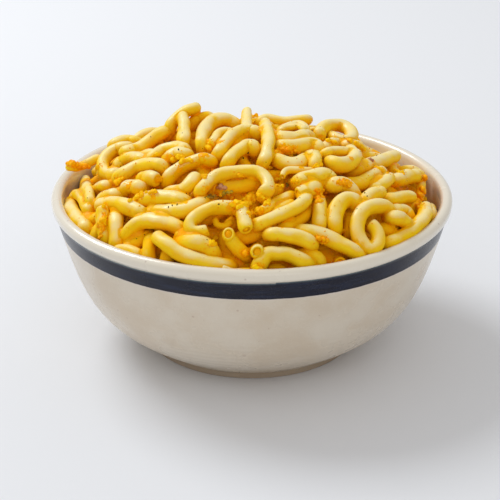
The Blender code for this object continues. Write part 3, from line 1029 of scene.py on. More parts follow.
def bakeTree(item, name, tree, **values):
    modifier = item.modifiers.new(tree.name, "NODES")
    modifier.node_group = tree
    labels = {socket.name.replace(" ", "_"): socket.identifier
              for socket in tree.interface.items_tree if socket.in_out == "INPUT"}
    for label, value in values.items():
        modifier[labels[label]] = value
    graph = bpy.context.evaluated_depsgraph_get()
    mesh = bpy.data.meshes.new_from_object(
        item.evaluated_get(graph), preserve_all_data_layers=True, depsgraph=graph)
    bpy.data.objects.remove(item)
    mesh.name = name
    return putInScene(name, mesh)


# tubes: every path becomes a hollow, slightly uneven tube of pasta

def profileCurve(tree, value, points):
    node = addNode(tree, "ShaderNodeFloatCurve")
    line = node.mapping.curves[0]
    while len(line.points) < len(points):
        line.points.new(0.5, 0.5)
    for point, (x, y) in zip(line.points, points):
        point.location = (x, y)
        point.handle_type = "VECTOR"
    node.mapping.update()
    feed(tree, value, node.inputs["Value"])
    return node.outputs["Value"]


def sampleAlong(tree, curves, tube, mode, place, value):
    node = addNode(tree, "GeometryNodeSampleCurve", mode=mode, data_type="FLOAT")
    feed(tree, curves, node.inputs["Curves"])
    feed(tree, value, node.inputs["Value"])
    feed(tree, tube, node.inputs["Curve Index"])
    feed(tree, place, node.inputs["Length" if mode == "LENGTH" else "Factor"])
    return node


# how the skin turns in at a tube's end, ring by ring: depth as a share of the hollow, width of the radius
openEnd = {"depth": (1.0, 0.98, 0.50, 0.16, 0.05, 0.0, 0.03, 0.13, 0.32),
           "width": (0.0, 0.40, 0.45, 0.47, 0.53, 0.66, 0.81, 0.93, 1.0)}
shutEnd = {"depth": (0.0, 0.0, 0.0, 0.005, 0.015, 0.035, 0.08, 0.17, 0.38),
           "width": (0.0, 0.18, 0.36, 0.51, 0.65, 0.77, 0.88, 0.96, 1.0)}

tubeShape = {
    "bodyStart": 0.48,  # where the even rings begin, as a share of the hollow's depth
    "unevenness": 0.07,
    "flatness": 0.08,
    "swell": 0.12,
    "lumpScale": 170.0,
    "twistScale": 70.0,
    "twist": 9.0,
    "seedStep": 7.31,
    "hollowRings": (5.0, 3.0),
    "sauceReach": (0.0007, 0.00005),
    "grainStretch": 25.0,
    "weld": 0.00001,
}


def layTubeSkins(tree, given, curves, lastRing):
    # one flat grid per path, whose points know their tube, their ring and their place around it
    size = addNode(tree, "GeometryNodeAttributeDomainSize", component="CURVE")
    feed(tree, curves, size.inputs[0])
    line = addNode(tree, "GeometryNodeMeshLine")
    feed(tree, size.outputs["Spline Count"], line.inputs["Count"])
    tubes = storeNumber(tree, line.outputs[0], "tube", addNode(tree, "GeometryNodeInputIndex").outputs[0])
    grid = addNode(tree, "GeometryNodeMeshGrid")
    grid.inputs["Size X"].default_value = grid.inputs["Size Y"].default_value = 1.0
    feed(tree, given.outputs["Rings"], grid.inputs["Vertices X"])
    feed(tree, plus(tree, given.outputs["Sides"], 1), grid.inputs["Vertices Y"])
    x, y, _ = threeParts(tree, addNode(tree, "GeometryNodeInputPosition").outputs[0])
    ring = maths(tree, "ROUND", times(tree, plus(tree, x, 0.5), lastRing))
    skin = storeNumber(tree, grid.outputs[0], "ring", ring)
    skin = storeNumber(tree, skin, "around", plus(tree, y, 0.5))
    copies = through(tree, "GeometryNodeInstanceOnPoints", tubes, Instance=skin)
    return through(tree, "GeometryNodeRealizeInstances", copies)


def placeRings(tree, given, curves, lastRing):
    # how far along its path each ring lies, how wide it is and how far that end stands open
    endRings = len(openEnd["depth"]) - 1
    hollow = given.outputs["Hollow Depth"]
    tube, ring = readNumber(tree, "tube"), readNumber(tree, "ring")
    fromEnd = maths(tree, "MINIMUM", ring, minus(tree, lastRing, ring))
    share = maths(tree, "DIVIDE", fromEnd, float(endRings), clamp=True)
    farHalf = maths(tree, "GREATER_THAN", ring, times(tree, lastRing, 0.5))
    gape = sampleAlong(tree, curves, tube, "FACTOR", farHalf, readNumber(tree, "openness")).outputs["Value"]
    steps = [k / endRings for k in range(endRings + 1)]
    ends = [[profileCurve(tree, share, list(zip(steps, end[kind]))) for end in (shutEnd, openEnd)]
            for kind in ("depth", "width")]
    depth, width = (blendNumber(tree, gape, shut, wide) for shut, wide in ends)
    endDepth = times(tree, depth, hollow)
    length = addNode(tree, "GeometryNodeSplineLength").outputs["Length"]
    total = sampleAlong(tree, curves, tube, "FACTOR", 0.0, length).outputs["Value"]
    bodyStart = times(tree, hollow, tubeShape["bodyStart"])
    bodyShare = maths(tree, "DIVIDE", minus(tree, ring, endRings + 1.0),
                      minus(tree, lastRing, 2.0 * (endRings + 1)))
    bodyLength = minus(tree, total, times(tree, bodyStart, 2.0))
    along = plus(tree, bodyStart, times(tree, bodyLength, bodyShare))
    endPlace = blendNumber(tree, farHalf, endDepth, minus(tree, total, endDepth))
    travelled = blendNumber(tree, maths(tree, "LESS_THAN", fromEnd, endRings + 0.5), along, endPlace)
    inside = times(tree, spread(tree, fromEnd, *tubeShape["hollowRings"]), gape)
    return travelled, width, inside


def unevenWidth(tree, given, probe, travelled, angle, tubeSeed):
    # the cross-section is a soft oval that turns slowly, and its size wanders along the tube
    slow = noise(tree, fromParts(tree, times(tree, travelled, tubeShape["twistScale"]), tubeSeed), 1.0, 1.0)
    turned = plus(tree, times(tree, angle, 2.0), times(tree, slow, tubeShape["twist"]))
    oval = times(tree, maths(tree, "COSINE", turned), given.outputs["Flatness"])
    lumps = addNode(tree, "ShaderNodeTexNoise", noise_dimensions="4D")
    feed(tree, probe, lumps.inputs["Vector"])
    feed(tree, tubeSeed, lumps.inputs["W"])
    lumps.inputs["Scale"].default_value = tubeShape["lumpScale"]
    lumps.inputs["Detail"].default_value = 2.0
    wander = times(tree, minus(tree, lumps.outputs[0], 0.5), given.outputs["Unevenness"])
    swell = times(tree, minus(tree, slow, 0.5), tubeShape["swell"])
    return plus(tree, plus(tree, plus(tree, oval, 1.0), wander), swell)


def sauceNearby(tree, given):
    shape = addNode(tree, "GeometryNodeObjectInfo")
    feed(tree, given.outputs["Sauce"], shape.inputs["Object"])
    near = addNode(tree, "GeometryNodeProximity", target_element="FACES")
    feed(tree, shape.outputs["Geometry"], near.inputs[0])
    return spread(tree, near.outputs["Distance"], *tubeShape["sauceReach"])


def makeTubeTree():
    # the skin goes in at each end, over the lip and along
    tree, given, result = newTree(
        "macaroniTubes", ("Rings", "Int", 50), ("Sides", "Int", 16),
        ("Hollow Depth", "Float", macaroni["hollowDepth"]),
        ("Unevenness", "Float", tubeShape["unevenness"]), ("Flatness", "Float", tubeShape["flatness"]),
        ("Seed", "Float", 0.0), ("Sauce", "Object", None), ("Material", "Material", None))
    curves = through(tree, "GeometryNodeMeshToCurve", given.outputs["Geometry"])
    lastRing = minus(tree, given.outputs["Rings"], 1)
    skins = layTubeSkins(tree, given, curves, lastRing)
    travelled, width, inside = placeRings(tree, given, curves, lastRing)
    tube = readNumber(tree, "tube")
    where = sampleAlong(tree, curves, tube, "LENGTH", travelled, readNumber(tree, "tubeRadius"))
    centre, radius, normal = (where.outputs[label] for label in ("Position", "Value", "Normal"))
    across = vectorMaths(tree, "CROSS_PRODUCT", where.outputs["Tangent"], normal)
    angle = times(tree, readNumber(tree, "around"), 2 * math.pi)
    cosine, sine = maths(tree, "COSINE", angle), maths(tree, "SINE", angle)
    tubeSeed = plus(tree, times(tree, tube, tubeShape["seedStep"]), given.outputs["Seed"])
    direction = vectorMaths(tree, "ADD", vectorMaths(tree, "SCALE", normal, scale=cosine),
                            vectorMaths(tree, "SCALE", across, scale=sine))
    probe = vectorMaths(tree, "ADD", centre, vectorMaths(tree, "SCALE", direction, scale=radius))
    uneven = unevenWidth(tree, given, probe, travelled, angle, tubeSeed)
    reach = times(tree, times(tree, radius, width), uneven)
    place = vectorMaths(tree, "ADD", centre, vectorMaths(tree, "SCALE", direction, scale=reach))
    shape = through(tree, "GeometryNodeSetPosition", skins, Position=place)

    # what the material reads: the hollow, a tint for each tube, where sauce lies (also used for painted shade
    # in the creases) and the skin's own grain
    shape = storeNumber(tree, shape, "insideTube", inside)
    tint = addNode(tree, "FunctionNodeRandomValue")
    feed(tree, tubeSeed, tint.inputs["ID"])
    shape = storeNumber(tree, shape, "tubeTint", tint.outputs[1])
    shape = storeNumber(tree, shape, "saucePooledAndCreaseShade", sauceNearby(tree, given))
    lengthwise = plus(tree, times(tree, travelled, tubeShape["grainStretch"]), tubeSeed)
    shape = storeNumber(tree, shape, "tubeSkin", fromParts(tree, cosine, sine, lengthwise), "FLOAT_VECTOR")
    shape = through(tree, "GeometryNodeMergeByDistance", shape, Distance=tubeShape["weld"])
    dress(tree, through(tree, "GeometryNodeSetShadeSmooth", shape), given, result)
    return tree


def makeMottleGroup():
    # cloudy patches and fine grain, shared by everything made of cheese
    group = bpy.data.node_groups.new("cheeseMottle", "ShaderNodeTree")
    settings = (("Patch Scale", 100.0), ("Patch Softness", 0.55), ("Patch Twist", 0.3),
                ("Grain Scale", 700.0), ("Grain Relief", 0.3))
    for label, value in settings:
        socket = group.interface.new_socket(label, in_out="INPUT", socket_type="NodeSocketFloat")
        socket.default_value = value
    for label in ("Patches", "Grain", "Relief"):
        group.interface.new_socket(label, in_out="OUTPUT", socket_type="NodeSocketFloat")
    given, result = group.nodes.new("NodeGroupInput"), group.nodes.new("NodeGroupOutput")
    place = addNode(group, "ShaderNodeTexCoord").outputs["Object"]
    patches = noise(group, place, given.outputs["Patch Scale"], 4.0, given.outputs["Patch Softness"],
                    given.outputs["Patch Twist"])
    grain = noise(group, place, given.outputs["Grain Scale"], 3.0, 0.6)
    feed(group, patches, result.inputs["Patches"])
    feed(group, grain, result.inputs["Grain"])
    relief = plus(group, patches, times(group, grain, given.outputs["Grain Relief"]))
    feed(group, relief, result.inputs["Relief"])
    return group


cheeseMottle = makeMottleGroup()


def mottle(tree, **values):
    node = addNode(tree, "ShaderNodeGroup", node_tree=cheeseMottle)
    for label, value in values.items():
        node.inputs[label.replace("_", " ")].default_value = value
    return node.outputs["Patches"], node.outputs["Grain"], node.outputs["Relief"]


pasta = {
    "golden": tone(246, 194, 0),
    "cream": tone(247, 207, 16),
    "sauce": tone(242, 180, 0),
    "pale": tone(248, 213, 56),
    # cream painted on exposed tops as painted highlight, partly sauce drained off them
    "drainedAndPaintedLight": tone(247, 228, 162),
    # orange painted on undersides and in creases as painted shade, partly sauce pooled there
    "pooledAndPaintedShade": tone(238, 176, 0),
    "paprika": tone(224, 130, 4),
    # deep: painted shade on pieces lying sunk under the topmost ones
    "deep": tone(248, 178, 0),
    "crust": tone(252, 184, 0),
    "crustDark": tone(248, 156, 0),
    # hollow: painted shade inside the tube's hollow
    "hollow": tone(214, 158, 20),
    "roughness": 0.42,
    "coatRoughness": 0.23,
    "specular": 0.03,
    "glow": 0.14,
    "glowReach": (1.0, 0.85, 0.2),
    "glowDepth": 0.0028,
    "relief": (0.35, 0.0004),
}


def makePastaMaterial():
    material, tree, shader = newMaterial(
        "sauceCoatedPasta", pasta["roughness"], Coat_Roughness=pasta["coatRoughness"],
        Specular_IOR_Level=pasta["specular"], Subsurface_Weight=pasta["glow"],
        Subsurface_Radius=pasta["glowReach"], Subsurface_Scale=pasta["glowDepth"])
    marks = ("tubeTint", "insideTube", "saucePooledAndCreaseShade", "sauceCoat", "sunk")
    tint, inner, pooledAndPaintedShade, coated, sunk = (readMark(tree, name) for name in marks)
    skin = addNode(tree, "ShaderNodeAttribute", attribute_name="tubeSkin").outputs["Vector"]
    patches, grain, relief = mottle(
        tree, Patch_Scale=85.0, Patch_Twist=0.3, Grain_Scale=650.0, Grain_Relief=0.31)
    cloudy = times(tree, minus(tree, patches, 0.5), 1.2)
    streaks = noise(tree, skin, 2.6, 3.0, 0.55)
    base = blendColour(tree, spread(tree, streaks, 0.35, 0.68), pasta["golden"], pasta["cream"])
    base = blendColour(tree, spread(tree, patches, 0.44, 0.66, 0.0, 0.75), base, pasta["sauce"])
    base = blendColour(tree, times(tree, tint, 0.30), base, pasta["pale"])

    # painted light and shade: tops painted paler as painted highlight, undersides more orange as painted
    # shade; partly also sauce drained off the tops and hanging thicker underneath
    upright = threeParts(tree, addNode(tree, "ShaderNodeNewGeometry").outputs["Normal"])[2]
    drainedAndPaintedLight = plus(tree, upright, cloudy)
    base = blendColour(tree, spread(tree, drainedAndPaintedLight, 0.15, -0.80, 0.0, 0.60), base, pasta["pooledAndPaintedShade"])
    # in the creases next to the sauce the pasta is painted orange: partly pooled sauce, partly painted shade
    base = blendColour(tree, times(tree, pooledAndPaintedShade, 0.85), base, pasta["pooledAndPaintedShade"])
    # painted shade: what lies sunk under the topmost pieces is painted deeper orange
    base = blendColour(tree, spread(tree, sunk, 0.35, 0.95, 0.0, 0.75), base, pasta["deep"])
    # painted highlight: the pale cream goes only on clean tops facing up, away from sauce and sunk pieces
    clear = times(tree, spread(tree, pooledAndPaintedShade, 0.50, 0.0), spread(tree, sunk, 0.60, 0.15))
    bare = times(tree, spread(tree, drainedAndPaintedLight, 0.35, 1.08, 0.0, 0.90), clear)
    base = blendColour(tree, bare, base, pasta["drainedAndPaintedLight"])
    base = blendColour(tree, times(tree, spread(tree, grain, 0.66, 0.74), 0.30), base, pasta["paprika"])

    # thick sauce and baked crust stuck to some of them
    ragged = plus(tree, coated, times(tree, minus(tree, grain, 0.5), 2.6))
    ragged = plus(tree, ragged, cloudy)
    crusted = times(tree, spread(tree, ragged, 0.49, 0.57), maths(tree, "GREATER_THAN", coated, 0.02))
    thick = blendColour(tree, spread(tree, grain, 0.40, 0.62), pasta["crustDark"], pasta["crust"])
    base = blendColour(tree, crusted, base, thick)
    # painted shade: the inside of each hollow is painted a darker ochre
    base = blendColour(tree, times(tree, inner, 0.70), base, pasta["hollow"])
    feed(tree, base, shader.inputs["Base Color"])

    # wettest on clean tops; crust and what lies deep stay dull
    wet = spread(tree, patches, 0.40, 0.66, 0.22, 0.55)
    wet = times(tree, wet, spread(tree, crusted, 1.0, 0.0, 0.10, 1.0))
    wet = times(tree, wet, spread(tree, upright, 0.0, 0.60, 0.0, 1.0))
    wet = times(tree, wet, spread(tree, sunk, 0.60, 0.20))
    feed(tree, wet, shader.inputs["Coat Weight"])
    feed(tree, spread(tree, patches, 0.35, 0.7, 0.50, 0.36), shader.inputs["Roughness"])
    height = plus(tree, times(tree, streaks, 0.6), times(tree, relief, 0.7))
    height = plus(tree, height, times(tree, crusted, times(tree, grain, 1.2)))
    addRelief(tree, shader, height, *pasta["relief"])
    return material


# cheese sauce: fills the creases between the pieces and the middle of the heap

sauce = {
    "voxel": 0.00165,
    "fill": 0.95,  # how fat the sauce is round each tube, of the tube's own radius
    "softening": 7,
    "steps": 36,  # points along each piece, of which the last few at either end stay dry
    "dryEnd": 3,
    "coreDepth": 0.013,
    "corePitch": 0.0075,
    "coreRadius": 0.0072,
    "coreSpan": 0.1,
    "coreHeights": (0.018, 0.12),
    "thick": tone(252, 162, 0),
    "thin": tone(252, 188, 0),
    "speck": tone(226, 128, 2),
    "roughness": 0.36,
    "coat": 0.04,
    "coatRoughness": 0.16,
    "specular": 0.05,
    "glow": 0.25,
    "glowReach": (1.0, 0.7, 0.1),
    "glowDepth": 0.004,
    "relief": (0.5, 0.0006),
}


def makeCorePoints():
    # a loose lattice of fat points through the middle of the heap, clear of the wall
    steps = np.arange(-sauce["coreSpan"], sauce["coreSpan"], sauce["corePitch"])
    heights = np.arange(*sauce["coreHeights"], sauce["corePitch"])
    x, y, z = (a.ravel() for a in np.meshgrid(steps, steps, heights, indexing="ij"))
    wall = innerWall(bowlShape["lipThickness"], bowlShape["lipThickness"] / 2)
    room = np.interp(z, wall[:, 1], wall[:, 0]) - np.hypot(x, y)
    inside = (heapSurface(x, y) - z > sauce["coreDepth"]) & (room > sauce["coreRadius"] * 1.5)
    return np.stack([x, y, z], 1)[inside]


def makeCheeseTree():
    # fat points melt into one softened skin, roughened where a grain height is given
    tree, given, result = newTree(
        "meltedCheese", ("Voxel", "Float", 0.0005), ("Softening", "Int", 2), ("Grain Height", "Float", 0.0),
        ("Grain Scale", "Float", 1000.0), ("Material", "Material", None))
    points = through(tree, "GeometryNodeMeshToPoints", given.outputs["Geometry"])
    fog = addNode(tree, "GeometryNodePointsToVolume", resolution_mode="VOXEL_SIZE")
    feed(tree, points, fog.inputs["Points"])
    feed(tree, given.outputs["Voxel"], fog.inputs["Voxel Size"])
    feed(tree, readNumber(tree, "pointRadius"), fog.inputs["Radius"])
    skin = addNode(tree, "GeometryNodeVolumeToMesh", resolution_mode="GRID")
    feed(tree, fog.outputs[0], skin.inputs["Volume"])
    blur = addNode(tree, "GeometryNodeBlurAttribute", data_type="FLOAT_VECTOR")
    feed(tree, addNode(tree, "GeometryNodeInputPosition").outputs[0], blur.inputs["Value"])
    feed(tree, given.outputs["Softening"], blur.inputs["Iterations"])
    grain = addNode(tree, "ShaderNodeTexNoise")
    feed(tree, given.outputs["Grain Scale"], grain.inputs["Scale"])
    grain.inputs["Detail"].default_value = 3.0
    push = times(tree, minus(tree, grain.outputs["Fac"], 0.45), given.outputs["Grain Height"])
    normal = addNode(tree, "GeometryNodeInputNormal").outputs[0]
    offset = vectorMaths(tree, "SCALE", normal, scale=times(tree, push, 4.0))
    moved = through(tree, "GeometryNodeSetPosition", skin.outputs[0], Position=blur.outputs[0], Offset=offset)
    dress(tree, through(tree, "GeometryNodeSetShadeSmooth", moved), given, result)
    return tree


def makePointCloud(name, points, radii):
    mesh = bpy.data.meshes.new(name)
    mesh.from_pydata(np.asarray(points).tolist(), [], [])
    mark(mesh, "pointRadius", np.asarray(radii, float))
    return putInScene(name, mesh)


def makeSauceMaterial():
    material, tree, shader = newMaterial(
        "cheeseSauce", sauce["roughness"], Coat_Weight=sauce["coat"], Coat_Roughness=sauce["coatRoughness"],
        Specular_IOR_Level=sauce["specular"], Subsurface_Weight=sauce["glow"],
        Subsurface_Radius=sauce["glowReach"], Subsurface_Scale=sauce["glowDepth"])
    patches, grain, relief = mottle(
        tree, Patch_Scale=120.0, Patch_Softness=0.6, Patch_Twist=0.4, Grain_Scale=900.0, Grain_Relief=0.4)
    base = blendColour(tree, spread(tree, patches, 0.35, 0.65), sauce["thick"], sauce["thin"])
    base = blendColour(tree, spread(tree, grain, 0.62, 0.74, 0.0, 0.4), base, sauce["speck"])
    feed(tree, base, shader.inputs["Base Color"])
    addRelief(tree, shader, relief, *sauce["relief"])
    return material


def makeSaucePiece(beads, sizes):
    wetSteps = sauce["steps"] - 2 * sauce["dryEnd"]
    along = [smoothPath(path, sauce["steps"])[sauce["dryEnd"]:-sauce["dryEnd"]] for path in beads]
    core = makeCorePoints()
    radii = np.concatenate([np.repeat(np.array(sizes) * sauce["fill"], wetSteps),
                            np.full(len(core), sauce["coreRadius"])])
    cloud = makePointCloud("saucePoints", np.vstack(along + [core]), radii)
    return bakeTree(cloud, "cheeseSauce", cheeseTree, Voxel=sauce["voxel"], Softening=sauce["softening"],
                    Material=makeSauceMaterial())


print("macaroni")
shownPaths, shownSizes, shownOpen = placeShownPieces()
hiddenPaths, hiddenSizes, hiddenOpen, hiddenDepths = placeHiddenPieces()
allSizes = shownSizes + hiddenSizes
allOpen = shownOpen + hiddenOpen
beads = settle(shownPaths + hiddenPaths, allSizes, len(shownPaths), hiddenDepths)

print("cheese sauce")
cheeseTree = makeCheeseTree()
saucePiece = makeSaucePiece(beads, allSizes)
print("cheeseSauce", len(saucePiece.data.polygons), "faces")
finishPiece(saucePiece, "cheese_macaroni", "macaroni_heap")

tubeTree = makeTubeTree()
pastaMaterial = makePastaMaterial()
shownEnd, backEnd = len(shownPaths), len(shownPaths) + macaroni["backCount"]
tubePieces = []
batches = [
    # piece, its first and last macaroni, rings along each and sides around
    ("macaroniFront", 0, shownEnd, 54, 18),
    ("macaroniBack", shownEnd, backEnd, 54, 18),
    ("macaroniUnder", backEnd, len(allSizes), 42, 12),
]
for name, first, last, rings, sides in batches:
    paths = makePaths(name + "Paths", beads[first:last], allSizes[first:last], allOpen[first:last])
    piece = bakeTree(paths, name, tubeTree, Rings=rings, Sides=sides, Seed=float(first), Sauce=saucePiece,
                     Material=pastaMaterial)
    print(name, len(piece.data.polygons), "faces")
    tubePieces.append(piece)


# thick sauce and baked crust on the tubes. Each row: x, y, reach, all in mm

sauceCoats = [
   (-25, -26.5, 4), (-24, -37, 3.5), (-44, -19.5, 2.5), (-46.5, 13.5, 2.5), (-21.5, -18.5, 3),
    (-17, -15, 2.5), (5.5, 0.5, 2.5), (4.5, 16, 2), (17, -21.5, 5), (21.5, -21, 3), (2.5, -54.5, 2.5),
    (13, -45.5, 2.5), (17.5, -52.5, 3), (-9.5, -67.5, 4), (-4, -90, 3), (-17, -84.5, 2.5), (3, -95.5, 3.5),
    (13.5, -78, 3), (25.5, -86, 2), (48.5, -40, 3.5), (41, -52, 5), (94.5, 41, 4), (92, 7, 4),
    (90, -6.5, 4), (88.5, -16, 4), (87.5, -22.5, 3), (76, -20.5, 5), (66, -20, 3), (64.5, -1.5, 2),
    (38, 5.5, 3), (63.5, -57, 2), (-101, 57.5, 5), (-93, 51.5, 3), (-70.5, -19.5, 4), (-76.5, -50.5, 4),
    (-57.5, -44.5, 4), (-42, -24, 4), (-50, -50, 3), (1.5, -72, 3.5), (-1.5, -68, 4), (-4.5, -65.5, 3),
    (25, -36.5, 2), (33.5, -33.5, 2.5), (51.5, -15, 2.5), (36, -80, 3), (-75.5, -37.5, 2.5),
    (-80, -41, 2.5), (-33, -60.5, 2), (-23, -55.5, 3), (-37, -35, 2), (70, -6.5, 3), (-63.5, -32.5, 3),
    (-52, -26.5, 2), (-20, 46, 5), (34, 60, 6), (-60, 44, 5), (70, 44, 4), (6, 78, 6), (-30, 80, 5),
    (-78, 40, 4), (50, 34, 4),
]

# things dropped onto the heap come in from the front; behind its middle they come from straight above,
# except at its far sides
landing = {
    "behind": 0.035,
    "sideEdge": 0.086,
    "from": 0.09,
    "through": 0.18,
}


def treeOfSurfaces(pieces):
    points, faces = [], []
    for piece in pieces:
        first = len(points)
        points += places(piece.data).tolist()
        faces += [[first + i for i in face.vertices] for face in piece.data.polygons]
    return BVHTree.FromPolygons(points, faces)


def outwardAt(x, y):
    return frontward if y < landing["behind"] or abs(x) > landing["sideEdge"] else upward


def land(surfaces, x, y):
    # where something dropped onto the heap from outside comes to lie
    lean = outwardAt(x, y)
    start = np.array([x, y, float(heapSurface(x, y))]) + lean * landing["from"]
    hit, normal, _, _ = surfaces.ray_cast(Vector(start), Vector(-lean), landing["through"])
    return (hit, normal) if hit else (None, None)


def standOut(where):
    # the cell of a loose grid over the heap that each spot lies in, and how far it stands out there
    cells = ((where[:, :2] + macaroni["crestReach"]) / macaroni["crestCell"]).astype(int)
    height = where[:, 2] - heapSurface(where[:, 0], where[:, 1])
    return np.clip(cells, 0, macaroni["crestCells"] - 1), height * macaroni["crestScale"]


def makeCrest(pieces):
    # how far out the topmost pieces stand round every spot of the heap
    count = macaroni["crestCells"]
    crest = np.full((count, count), -1.0)
    for piece in pieces:
        cells, height = standOut(places(piece.data))
        np.maximum.at(crest, (cells[:, 0], cells[:, 1]), height)
    for _ in range(3):
        for axis in (0, 1):
            crest = np.maximum(crest, np.maximum(np.roll(crest, 1, axis), np.roll(crest, -1, axis)))
    return crest


def howSunk(where, crest):
    # nought for the topmost pieces, one for what lies a whole piece or more below them
    cells, height = standOut(where)
    return np.clip((crest[cells[:, 0], cells[:, 1]] - height) / macaroni["sunkOver"], 0, 1)


def coatPieces(pieces, surfaces):
    # marks how thickly sauce and crust cling to each spot of the tubes, and how deep the spot lies
    spots = []
    for x, y, reach in sauceCoats:
        hit, _ = land(surfaces, x * mm, y * mm)
        if hit is not None:
            spots.append((np.array(hit), reach * mm))
    crest = makeCrest(pieces)
    for piece in pieces:
        where = places(piece.data)
        coat = np.zeros(len(where))
        for hit, reach in spots:
            away = np.linalg.norm(where - hit, axis=1)
            coat = np.maximum(coat, np.clip(1.25 - away / reach, 0, 1))
        mark(piece.data, "sauceCoat", coat)
        mark(piece.data, "sunk", howSunk(where, crest))


surfaces = treeOfSurfaces(tubePieces + [saucePiece])
coatPieces(tubePieces, surfaces)
for piece in tubePieces:
    finishPiece(piece, "cheese_macaroni")


# set cheese and sprinkled bits. Each row: x, y, spread along x, spread along y, how many, lump size.
# Places and sizes are in mm

curdSpots = [
   (1, -63.5, 4.4, 2.0, 110, 1.2), (-1.5, -66, 3.4, 1.6, 60, 1.15), (6, -64, 2.4, 1.6, 44, 1.15),
    (2, -69, 2.4, 1.8, 44, 1.1), (1, -72, 1.5, 1.4, 12, 1.3), (-7, -66, 1.6, 0.8, 12, 1.3),
    (-7, -67.5, 2.4, 1.2, 14, 1.2), (-39, -24.5, 2.2, 2.4, 20, 1.3), (-35, -29, 2.4, 1.3, 16, 1.1),
    (-22.4, -19, 0.9, 2.8, 14, 1.4), (-24, -45, 1.3, 1.4, 12, 1.4), (-58, -45.5, 2.4, 1.2, 14, 1.2),
    (-50, -46.5, 1.6, 1.0, 8, 1.2), (-70, -21.5, 1.4, 1.5, 14, 1.4), (-19, -84.5, 1.8, 1.0, 10, 1.3),
    (2.5, -96, 1.6, 1.0, 10, 1.3), (34, -33, 1.8, 1.2, 10, 1.2), (14, -50, 1.4, 3.0, 18, 1.2),
    (21, -49.5, 2.2, 1.4, 14, 1.0), (41.5, 2, 3.2, 1.4, 20, 1.1), (58, 16, 2.6, 1.6, 20, 1.2),
    (52, 17, 1.6, 1.4, 10, 1.1), (69.5, -9, 2.6, 1.4, 14, 1.2), (-50, -12, 2.2, 1.0, 10, 1.1),
    (-46, 6, 1.6, 1.4, 8, 1.1), (-12, -60, 2.6, 1.0, 12, 1.1), (-6, -47, 1.0, 0.6, 4, 0.9),
    (80, 6, 2.0, 3.0, 12, 1.1), (-76, -48, 0.9, 4.0, 16, 1.3), (-30, 62, 3.0, 3.0, 26, 1.3),
    (25, 70, 3.0, 2.0, 20, 1.2), (62, 52, 2.4, 2.4, 18, 1.3), (-66, 50, 2.4, 2.4, 18, 1.3),
    (0, 50, 3.2, 2.0, 18, 1.1), (-84, 24, 1.6, 2.4, 10, 1.1), (10, 86, 3.0, 1.4, 14, 1.2),
    (40, 82, 2.4, 1.4, 12, 1.2),
]

darkCrustSpots = [
   (-104, 62, 1.4, 1.0, 18, 1.1), (-100, 59, 2.0, 1.6, 30, 1.2), (-96, 56, 2.2, 2.0, 26, 1.3),
    (-91, 54, 2.4, 1.6, 20, 1.2), (95, 41, 0.9, 2.2, 34, 1.1), (92.5, 7, 0.9, 3.2, 40, 1.1),
    (90.5, -6, 0.8, 2.8, 30, 1.1), (88.5, -16, 0.8, 2.4, 24, 1.0), (87.5, -22, 0.7, 1.6, 12, 1.0),
    (18, -22.5, 3.0, 1.4, 34, 1.0), (14, -26, 1.6, 1.2, 10, 1.3), (-3.5, -90.5, 1.6, 0.8, 12, 1.1),
    (34, -79.5, 2.2, 0.8, 18, 1.0), (45.5, -41, 2.2, 1.4, 20, 1.0), (36, -53.5, 2.0, 2.0, 30, 1.0),
    (33.5, -58, 1.2, 1.6, 16, 1.0), (-76.5, -50, 1.2, 4.5, 34, 1.0), (-52, 74, 2.4, 1.6, 14, 1.5),
    (84, 44, 1.4, 2.4, 12, 1.5),
]

herbSpots = [
   (-16, -59.5, 2.6, 0.9, 15, 1.0), (-21, -60, 1.8, 0.8, 9, 0.9), (-11.5, -58.5, 1.4, 0.8, 6, 0.9),
    (20, -51, 1.2, 0.8, 4, 0.8), (-86, 30, 1.5, 0.8, 5, 0.8), (30, 58, 1.4, 1.0, 5, 0.9),
]

onionSpots = [
   (-15, -54.3, 1.2, 0.7, 7, 1.5), (63.4, -1.8, 0.8, 0.4, 4, 0.9), (-13.5, 6.5, 0.8, 0.5, 3, 0.8),
    (-46, 44, 1.0, 0.6, 4, 1.0),
]

# each row: x, y, size, all in mm
pepperSpots = [
   (-38.3, -15.1, 0.75), (-4.5, -32.2, 0.7), (-2, -27.5, 0.5), (-39.8, -60.3, 0.55), (-37.5, -60.6, 0.6),
    (-41.8, -60.5, 0.5), (-52.2, -80.6, 0.7), (-16.4, -65.6, 0.6), (57.5, -42.4, 0.55), (58.6, -44, 0.45),
    (-58, -70, 0.5), (-54, -70, 0.45), (56.5, 21, 0.8), (-70.5, -2, 0.4), (24, -60, 0.4), (-33, -55, 0.35),
]

lump = {
    "voxel": 0.00042,
    "softening": 1,
    "grainHeight": 0.00026,
    "grainScale": 1000.0,
    "scatter": 0.7,
    "sizes": (0.55, 1.15),
    "pile": 0.62,
}

sprinkle = {
    "crumbs": 900,
    "crumbSizes": (0.00016, 0.00050),
    "crumbClumping": 0.80,
    "pepper": 110,
    "pepperSizes": (0.00014, 0.00038),
    "pepperClumping": 0.3,
    "within": 0.097,
    "stretch": (0.8, 1.7),
    "dents": 0.0004,
    "dentScale": 2600.0,
    "seed": 5,
}


def lumpPoints(surfaces, spots, draw):
    # lumps land one after another, and those that meet pile up outwards
    points, radii = [], []
    for x, y, wide, deep, count, size in spots:
        lean = outwardAt(x * mm, y * mm)
        first = len(points)
        for _ in range(count):
            atX = (x + draw.gauss(0, wide * lump["scatter"])) * mm
            atY = (y + draw.gauss(0, deep * lump["scatter"])) * mm
            hit, _ = land(surfaces, atX, atY)
            if hit is None:
                continue
            radius = size * mm * draw.uniform(*lump["sizes"])
            spot = np.array(hit) + lean * radius * 0.2
            for other, otherRadius in zip(points[first:], radii[first:]):
                meet = lump["pile"] * (radius + otherRadius) - np.linalg.norm(spot - other)
                spot = spot + lean * max(meet, 0.0) * 0.6
            points.append(spot)
            radii.append(radius)
    return points, radii


